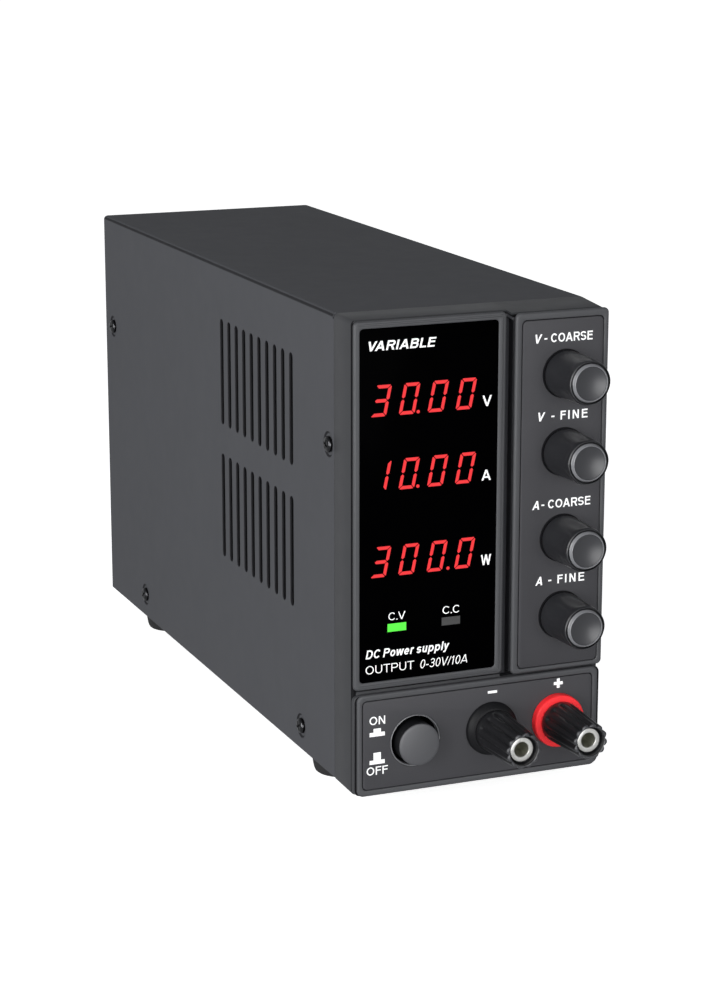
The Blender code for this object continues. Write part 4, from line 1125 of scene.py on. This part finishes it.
def segment_outline(which):
    """One segment of a digit before it leans, its ends cut to meet its neighbours."""
    w, h, s, c, g = DIGIT_WIDTH / 2, DIGIT_HEIGHT / 2, STROKE, 0.42, 0.17
    if which in "ad":
        shape = [(-w + c + g, h), (w - c - g, h), (w - c / 2 - g, h - c / 2), (w - s - g, h - s)]
        shape += [(-w + s + g, h - s), (-w + c / 2 + g, h - c / 2)]
        return shape if which == "a" else [(a, -b) for a, b in shape]
    if which == "g":
        a, b, t = w - s / 2 - g, w - s - g * 0.8, s / 2
        return [(-a, 0.0), (-b, -t), (b, -t), (a, 0.0), (b, t), (-b, t)]
    shape = [(w, h - c - g), (w - c / 2, h - c / 2 - g), (w - s, h - s - g), (w - s, g + s * 0.45)]
    shape += [(w - s / 2, g), (w, g + s * 0.45)]
    across = 1.0 if which in "bc" else -1.0
    up = 1.0 if which in "bf" else -1.0
    return [(a * across, b * up) for a, b in shape]


# Name, digits and their middle height, decimal point, unit, and the unit's middle and width.
READINGS = (
    ("voltage", "3000", 122.9, (-21.42, 118.66), "V", (1.32, 120.22, 3.1)),
    ("current", "1000", 99.95, (-21.4, 95.7), "A", (1.33, 97.13, 3.1)),
    ("power", "3000", 73.2, (-11.2, 68.98), "W", (1.57, 70.33, 3.4)),
)
# Name, text, box (left, right, baseline, top of the capitals), slant and stroke weight.
WINDOW_WORDS = (
    ("heading", "VARIABLE", (-37.55, -15.6, 138.1, 141.0), 0.22, 0.2),
    ("product_line", "DC Power supply", (-38.4, -10.5, 43.0, 45.75), 0.22, 0.19),
    ("range_word", "OUTPUT", (-38.4, -22.3, 38.1, 40.75), 0.0, 0.11),
    ("range_values", "0-30V/10A", (-20.2, -4.4, 37.95, 40.75), 0.22, 0.11),
)


def make_display():
    for name, symbols, z, (point_x, point_z), unit, (unit_x, unit_z, unit_width) in READINGS:
        for number, (symbol, x) in enumerate(zip(symbols, DIGIT_X)):
            outlines = []
            for which in SEGMENTS[symbol]:
                outlines.append([(x + a + LEAN * b, z + UP + b) for a, b in segment_outline(which)])
            lit_shape(f"{name}_digit_{number + 1}", outlines, RED_LIT)
        lit_shape(name + "_point", [arc(point_x, point_z + UP, 0.53, 0.0, 342.0, 19)], RED_LIT)
        window_word("unit_" + name, unit, centred(unit_x, unit_z + UP, unit_width, 3.3), 0.0, 0.17)
    for word, x, lit in (("C.V", -28.1, GREEN_LIT), ("C.C", -10.06, UNLIT)):
        name = "indicator_" + word.replace(".", "").lower()
        window_word(name + "_label", word, centred(x, 55.72 + UP, 5.6, 2.45), 0.0, 0.12, 0.03)
        lit_shape(name + "_lamp", [rectangle(x, 52.12 + UP, 6.2, 2.55)], lit)
    for name, text, (left, right, bottom, top), slant, weight in WINDOW_WORDS:
        window_word(name, text, (left, right, bottom + UP, top + UP), slant, weight)


# ---------------- back of the case

PANEL_FACE = high("rear_panel")[1]
FAN_X, FAN_Z = axis("fan_frame")
FAN_HOLES = 25.0
FAN_BORE, FAN_BLADES = 28.2, 7
HUB_RADIUS, BLADE_LENGTH = 13.0, 14.6
GUARD_WIRE, GUARD_RADII = 0.62, (5.0, 10.0, 15.0, 20.0, 25.0)
SLIDER_TRAVEL = 5.0
FAN_CORNERS = [(FAN_X + a, FAN_Z + b) for a in (-FAN_HOLES, FAN_HOLES) for b in (-FAN_HOLES, FAN_HOLES)]


def extent(node):
    """A node's outline seen from the front, as (left, right, bottom, top)."""
    a, b = low(node), high(node)
    return a[0], b[0], a[2], b[2]


def circle(sides):
    """Cosine and sine of evenly spaced angles."""
    angles = [2.0 * math.pi * side / sides for side in range(sides)]
    return [(math.cos(angle), math.sin(angle)) for angle in angles]


def make_rear_panel():
    outline = extent("rear_panel")
    bottom = outline[2]
    deep = PANEL_FACE - low("rear_panel")[1]
    back = PANEL_FACE - FRONT
    rim = back - deep
    outside = [(rim, 0.0)] + [(back - setback, inset) for setback, inset in rounding(2.0, 5)]
    loops = stacked(outline, 2.4, outside)[::-1] + stacked(outline, 2.4, ((rim, 1.0), (back - 1.0, 1.0)))
    panel = solid("rear_sheet", *skin(loops), STEEL)
    front = PANEL_FACE - 4.0
    cut(panel, rod_tool((FAN_X, front, FAN_Z), "back", 28.0, 8.0, 96))
    for x, z in FAN_CORNERS:
        cut(panel, rod_tool((x, front, z), "back", 2.0, 8.0, 24))
    for node, margin_x, margin_z in (("mains_inlet", 1.7, 1.8), ("voltage_selector_body", 4.7, 1.2)):
        a, b, c, d = extent(node)
        opening = (a + margin_x, front, c + margin_z), (b - margin_x, PANEL_FACE + 4.0, d - margin_z)
        cut(panel, block_tool(*opening))
    cut(panel, block_tool((-60.0, PANEL_FACE - deep - 1.0, 0.0), (60.0, PANEL_FACE - 2.0, bottom + 1.6)))
    stands_for(panel, "rear_panel")


def make_fan_housing():
    front, back = low("fan_frame")[1], high("fan_frame")[1]
    start, end, length = front - FRONT, back - FRONT, back - front
    stations = ((start, 0.4), (start + 0.4, 0.0), (start + 4.0, 0.0), (start + 4.0, 2.0), (end - 4.0, 2.0))
    stations += ((end - 4.0, 0.0), (end - 0.4, 0.0), (end, 0.4))
    body = slab("fan_housing", extent("fan_frame"), 4.0, stations, BLACK, steps=5)
    bore = [(0.0, length + 1.0), (29.0, length + 1.0), (28.5, length - 0.6), (FAN_BORE, length - 4.0)]
    bore += [(FAN_BORE, 4.0), (29.0, -1.0), (0.0, -1.0)]
    cut(body, turned_tool((FAN_X, front, FAN_Z), "back", bore, 96))
    for x, z in FAN_CORNERS:
        cut(body, rod_tool((x, front - 1.0, z), "back", 2.15, length + 2.0, 24))
    stands_for(body, "fan_frame")


def fan_spoke(turn, back):
    across = Vector((math.cos(turn), 0.0, math.sin(turn)))
    side = Vector((-math.sin(turn), 0.0, math.cos(turn)))
    near, far = Vector((0, back - 3.3, 0)), Vector((0, back - 0.6, 0))
    loops = []
    for reach, width in ((10.0, 1.6), (FAN_BORE + 0.2, 1.2)):
        centre = Vector((FAN_X, 0.0, FAN_Z)) + across * reach
        wide, narrow = side * width, side * width * 0.6
        at_near, at_far = centre + near, centre + far
        loops.append([at_near + wide, at_near - wide, at_far - narrow, at_far + narrow])
    return skin(loops)


def make_fan():
    make_fan_housing()
    back = high("fan_frame")[1]
    seat = [(0.0, -0.1), (11.0, -0.1), (11.8, -0.7), (12.0, -1.4), (12.0, -3.4), (0.0, -3.4)]
    hub = skin([ring((FAN_X, back, FAN_Z), "back", r, h, 64) for r, h in seat])
    spokes = [fan_spoke(math.radians(20.0 + 90.0 * number), back) for number in range(4)]
    on_case(solid("fan_motor_seat", *merge(hub, *spokes), BLACK))
    label = [(0.0, 0.0), (9.4, 0.0), (9.4, -0.12), (0.0, -0.12)]
    on_case(turned("fan_label", (FAN_X, back - 0.02, FAN_Z), "back", label, KNOB_FACE))

    rotor_front, rotor_back = low("fan_rotor")[1], back - 4.3
    depth = rotor_back - rotor_front
    cap = [(0.0, depth), (HUB_RADIUS - 0.1, depth), (HUB_RADIUS, depth - 0.3), (HUB_RADIUS, 1.2)]
    cap += [(HUB_RADIUS - 0.4, 0.4), (HUB_RADIUS - 1.2, 0.0), (0.0, 0.0)]
    pieces = [skin([ring((FAN_X, rotor_front, FAN_Z), "back", r, h, 64) for r, h in cap])]
    for number in range(FAN_BLADES):
        turn = 2.0 * math.pi * number / FAN_BLADES
        pieces.append(fan_blade(turn, rotor_front + 0.8, rotor_back - 0.8))
    stands_for(solid("fan_impeller", *merge(*pieces), BLACK, angle=50.0), "fan_rotor")


def fan_blade(turn, front, back):
    """A twisted, cambered blade, steeper at the hub than at the tip and shorter at its very end."""
    stations = (-0.5, -0.25, 0.0, 0.25, 0.5)
    section = []
    for along in stations:
        section.append((along, 0.45 + 0.05 * (0.5 - abs(along)) + 3.6 * (0.25 - along * along)))
    for along in stations[::-1]:
        section.append((along, -0.45 + 3.6 * (0.25 - along * along)))
    loops = []
    span = 8
    for step in range(span + 1):
        out = step / span
        radius = HUB_RADIUS - 0.4 + out * BLADE_LENGTH
        chord = (back - front) * (0.92 - 0.1 * out) * (0.86 if step == span else 1.0)
        lean = math.radians(46.0 - 16.0 * out)
        loop = []
        for along, thick in section:
            slip = along * chord / math.tan(lean) * 0.55 + thick
            angle = turn + math.radians(10.0) * out + slip / radius
            y = (front + back) / 2 + along * chord
            loop.append((FAN_X + radius * math.cos(angle), y, FAN_Z + radius * math.sin(angle)))
        loops.append(loop)
    return skin(loops)


def wire_ring(x, y, z, radius, wire, steps, sides):
    """A round wire bent to a ring about an axis that points to the back."""
    loops = []
    for a, b in circle(steps):
        section = [(radius + wire * c, y + wire * d) for c, d in circle(sides)]
        loops.append([(x + r * a, level, z + r * b) for r, level in section])
    return skin(loops, closed_chain=True)


def straight_wire(start, end, wire, sides=10):
    along = (end - start).normalized()
    side = along.cross(Vector((0, 1, 0))).normalized()
    up = side.cross(along)
    section = [side * wire * a + up * wire * b for a, b in circle(sides)]
    return skin([[point + offset for offset in section] for point in (start, end)])


def make_guard():
    start, wire = low("fan_guard")[1], GUARD_WIRE
    pieces = [wire_ring(FAN_X, start + wire * 2.6, FAN_Z, radius, wire, 96, 10) for radius in GUARD_RADII]
    for x, z in FAN_CORNERS:
        way = Vector((x - FAN_X, 0.0, z - FAN_Z)).normalized()
        centre, corner = Vector((FAN_X, start + wire, FAN_Z)), Vector((x, start + wire, z))
        pieces.append(straight_wire(centre + way * 4.4, corner - way * 3.3, wire))
        pieces.append(wire_ring(x, start + 0.5, z, 3.1, 0.45, 40, 8))
    stands_for(solid("fan_guard_wires", *merge(*pieces), ZINC), "fan_guard")
    head = [(0.0, 1.75), (1.0, 1.7), (1.9, 1.4), (2.4, 0.95), (2.6, 0.4), (2.6, 0.0)]
    head += [(1.4, 0.0), (1.4, -5.0), (0.0, -5.0)]
    for number, (x, z) in enumerate(FAN_CORNERS):
        seat = (x, start - 0.1, z)
        screw = turned(f"fan_screw_{number + 1}", seat, "back", head, ZINC, steps=36)
        cut(screw, cross_tool(seat, "back", 1.75, math.radians(17.0 + 33.0 * number), 1.6, 0.3))
        on_case(screw)


def inlet_outline(x, z, width, height, chamfer):
    """The inlet's mouth: a rectangle whose two upper corners are cut off."""
    left, right, bottom, top = centred(x, z, width, height)
    shoulder = [(right, top - chamfer), (right - chamfer, top), (left + chamfer, top), (left, top - chamfer)]
    return [(left, bottom), (right, bottom)] + shoulder


def make_inlet():
    x, z = axis("mains_inlet")
    front, face = low("mains_inlet")[1], high("mains_inlet")[1]
    seat = PANEL_FACE + 0.3
    stations = ((seat, 0.0), (face - 0.7, 0.0), (face - 0.2, 0.15), (face, 0.6))
    body = slab("inlet_shell", centred(x, z, 31.0, 24.0), 3.0, stations, BLACK, origin=0.0)
    combine(body, prism_tool(inlet_outline(x, z, 27.0, 19.8, 4.0), front, seat + 1.0), "UNION")
    mouth = ((face + 1.0, 24.4, 17.6, 4.6), (face - 0.6, 22.8, 16.0, 4.2), (face - 16.0, 22.6, 15.8, 4.2))
    cut(body, solid("tool", *skin([at_y(inlet_outline(x, z, *size), y) for y, *size in mouth])))
    stands_for(body, "mains_inlet")
    pins = []
    stations = ((face - 16.6, 0.0), (face - 6.4, 0.0), (face - 5.6, 0.5))
    for u, v in ((-7.0, -2.0), (0.0, 2.0), (7.0, -2.0)):
        pins.append(skin(stacked(centred(x + u, z + v, 2.0, 4.0), 0.6, stations, 3, 0.0)))
    on_case(solid("inlet_pins", *merge(*pins), NICKEL))


def make_selector():
    x, z = axis("voltage_selector_body")
    front, face = low("voltage_selector_body")[1], high("voltage_selector_body")[1]
    seat = PANEL_FACE + 0.3
    stations = ((seat, 0.0), (face - 0.35, 0.0), (face - 0.1, 0.1), (face, 0.35))
    body = slab("selector_shell", extent("voltage_selector_body"), 2.0, stations, BLACK, origin=0.0)
    combine(body, prism_tool(rounded(centred(x, z, 20.0, 11.0), 0.0, 0.5, 3), front, seat + 0.6), "UNION")
    slider_left, slider_right, _, _ = extent("voltage_selector_slider")
    slot_half = (slider_right - slider_left + SLIDER_TRAVEL + 0.6) / 2
    cut(body, block_tool((x - slot_half, seat - 6.0, z - 3.5), (x + slot_half, seat + 5.0, z + 3.5)))
    for side in (-12.5, 12.5):
        cut(body, rod_tool((x + side, seat - 1.0, z), "back", 1.3, 4.0, 24))
    stands_for(body, "voltage_selector_body")

    outline = left, right, bottom, top = extent("voltage_selector_slider")
    start, end = low("voltage_selector_slider")[1], high("voltage_selector_slider")[1]
    stations = ((start, 0.0), (end - 0.25, 0.0), (end, 0.2))
    slider = slab("selector_slider", outline, 0.5, stations, RED, steps=3, origin=0.0)
    for number in range(-2, 3):
        rib = (left + right) / 2 + number * 1.3
        cut(slider, block_tool((rib - 0.2, end - 0.35, bottom - 1.0), (rib + 0.2, end + 1.0, top + 1.0)))
    stands_for(slider, "voltage_selector_slider")


def make_filters():
    """Foam dust filters just inside the cover, behind the vents, near black so that they also stand as
    painted shade in the vents.
    """
    outline = (CASE_FRONT + 30.5, CASE_FRONT + 107.5, CASE_BOTTOM + 42.0, CASE_BOTTOM + 133.5)
    for side, sign in (("left", -1.0), ("right", 1.0)):
        loops = []
        for reach, inset in ((41.15, 0.3), (41.05, 0.0), (39.9, 0.0), (39.8, 0.3)):
            loops.append([(sign * reach, y, z) for y, z in rounded(outline, inset, 2.0, 4)])
        on_case(solid("dust_filter_" + side, *skin(loops), FILTER_SHADE))


# ---------------- studio, light and camera

GROUND_HALF = 6000.0
LIGHT_TARGET = Vector((0.0, -30.0, 80.0))
# Name, place, width and height, power in watts.
SOFTBOXES = (
    ("key_softbox", (-1150.0, -620.0, 330.0), (700.0, 1000.0), 18.0),
    ("front_softbox", (-120.0, -1500.0, 120.0), (900.0, 900.0), 21.0),
)


def make_world():
    """A soft sky for the object, graded by height, behind which the camera sees plain white."""
    world = bpy.data.worlds.new("studio_world")
    world.use_nodes = True
    tree = world.node_tree
    ambient = tree.nodes["Background"]
    place = new_node(tree, "TexCoord", {}).outputs["Generated"]
    up = new_node(tree, "SeparateXYZ", {"Vector": place}).outputs["Z"]
    height = new_node(tree, "MapRange", {"Value": up, "From Min": -1.0, "From Max": 1.0}).outputs["Result"]
    below, above, horizon = (0.4, 0.41, 0.42), (0.18, 0.185, 0.193), (0.46, 0.47, 0.48)
    feed(tree, ambient, {"Color": ramp(tree, height, (0.0, below), (1.0, above), (0.5, horizon))})
    backdrop = new_node(tree, "Background", {"Color": (1.0, 1.0, 1.0, 1.0), "Strength": 1.05})
    seen = new_node(tree, "LightPath", {}).outputs["Is Camera Ray"]
    mix = new_node(tree, "MixShader", {"Fac": seen, 1: ambient.outputs[0], 2: backdrop.outputs[0]})
    feed(tree, tree.nodes["World Output"], {"Surface": mix.outputs["Shader"]})
    SCENE.world = world


def aim(thing, place, direction):
    thing.location = Vector(place) * MM
    thing.rotation_euler = direction.to_track_quat("-Z", "Y").to_euler()
    SCENE.collection.objects.link(thing)


def make_studio():
    corners = bar(-GROUND_HALF, GROUND_HALF, -GROUND_HALF, GROUND_HALF)
    ground = solid("studio_ground", [(x, y, -0.05) for x, y in corners], [(0, 1, 2, 3)], FLOOR)
    ground.visible_glossy = False
    ground.visible_diffuse = False
    make_world()
    for name, place, (wide, tall), power in SOFTBOXES:
        light = bpy.data.lights.new(name, "AREA")
        light.shape = "RECTANGLE"
        light.size, light.size_y = wide * MM, tall * MM
        light.energy = power
        aim(bpy.data.objects.new(name, light), place, LIGHT_TARGET - Vector(place))


def make_camera():
    lens = bpy.data.cameras.new("camera")
    lens.lens = 93.53
    lens.sensor_fit = "AUTO"
    lens.sensor_width = 36.0
    lens.clip_start = 0.05
    lens.clip_end = 100.0
    camera = bpy.data.objects.new("camera", lens)
    place = (-325.34, CASE_FRONT - 708.28, CASE_BOTTOM + 279.13)
    aim(camera, place, Vector((0.36862, 0.89815, -0.23969)))
    SCENE.camera = camera
    SCENE.view_settings.view_transform = "Standard"
    SCENE.view_settings.look = "None"


make_cover()
make_filters()
make_side_screws()
make_feet()
make_bezel()
make_panels()
make_knobs()
make_button()
make_posts()
make_panel_lettering()
make_display()
make_rear_panel()
make_fan()
make_guard()
make_inlet()
make_selector()
make_studio()
make_camera()
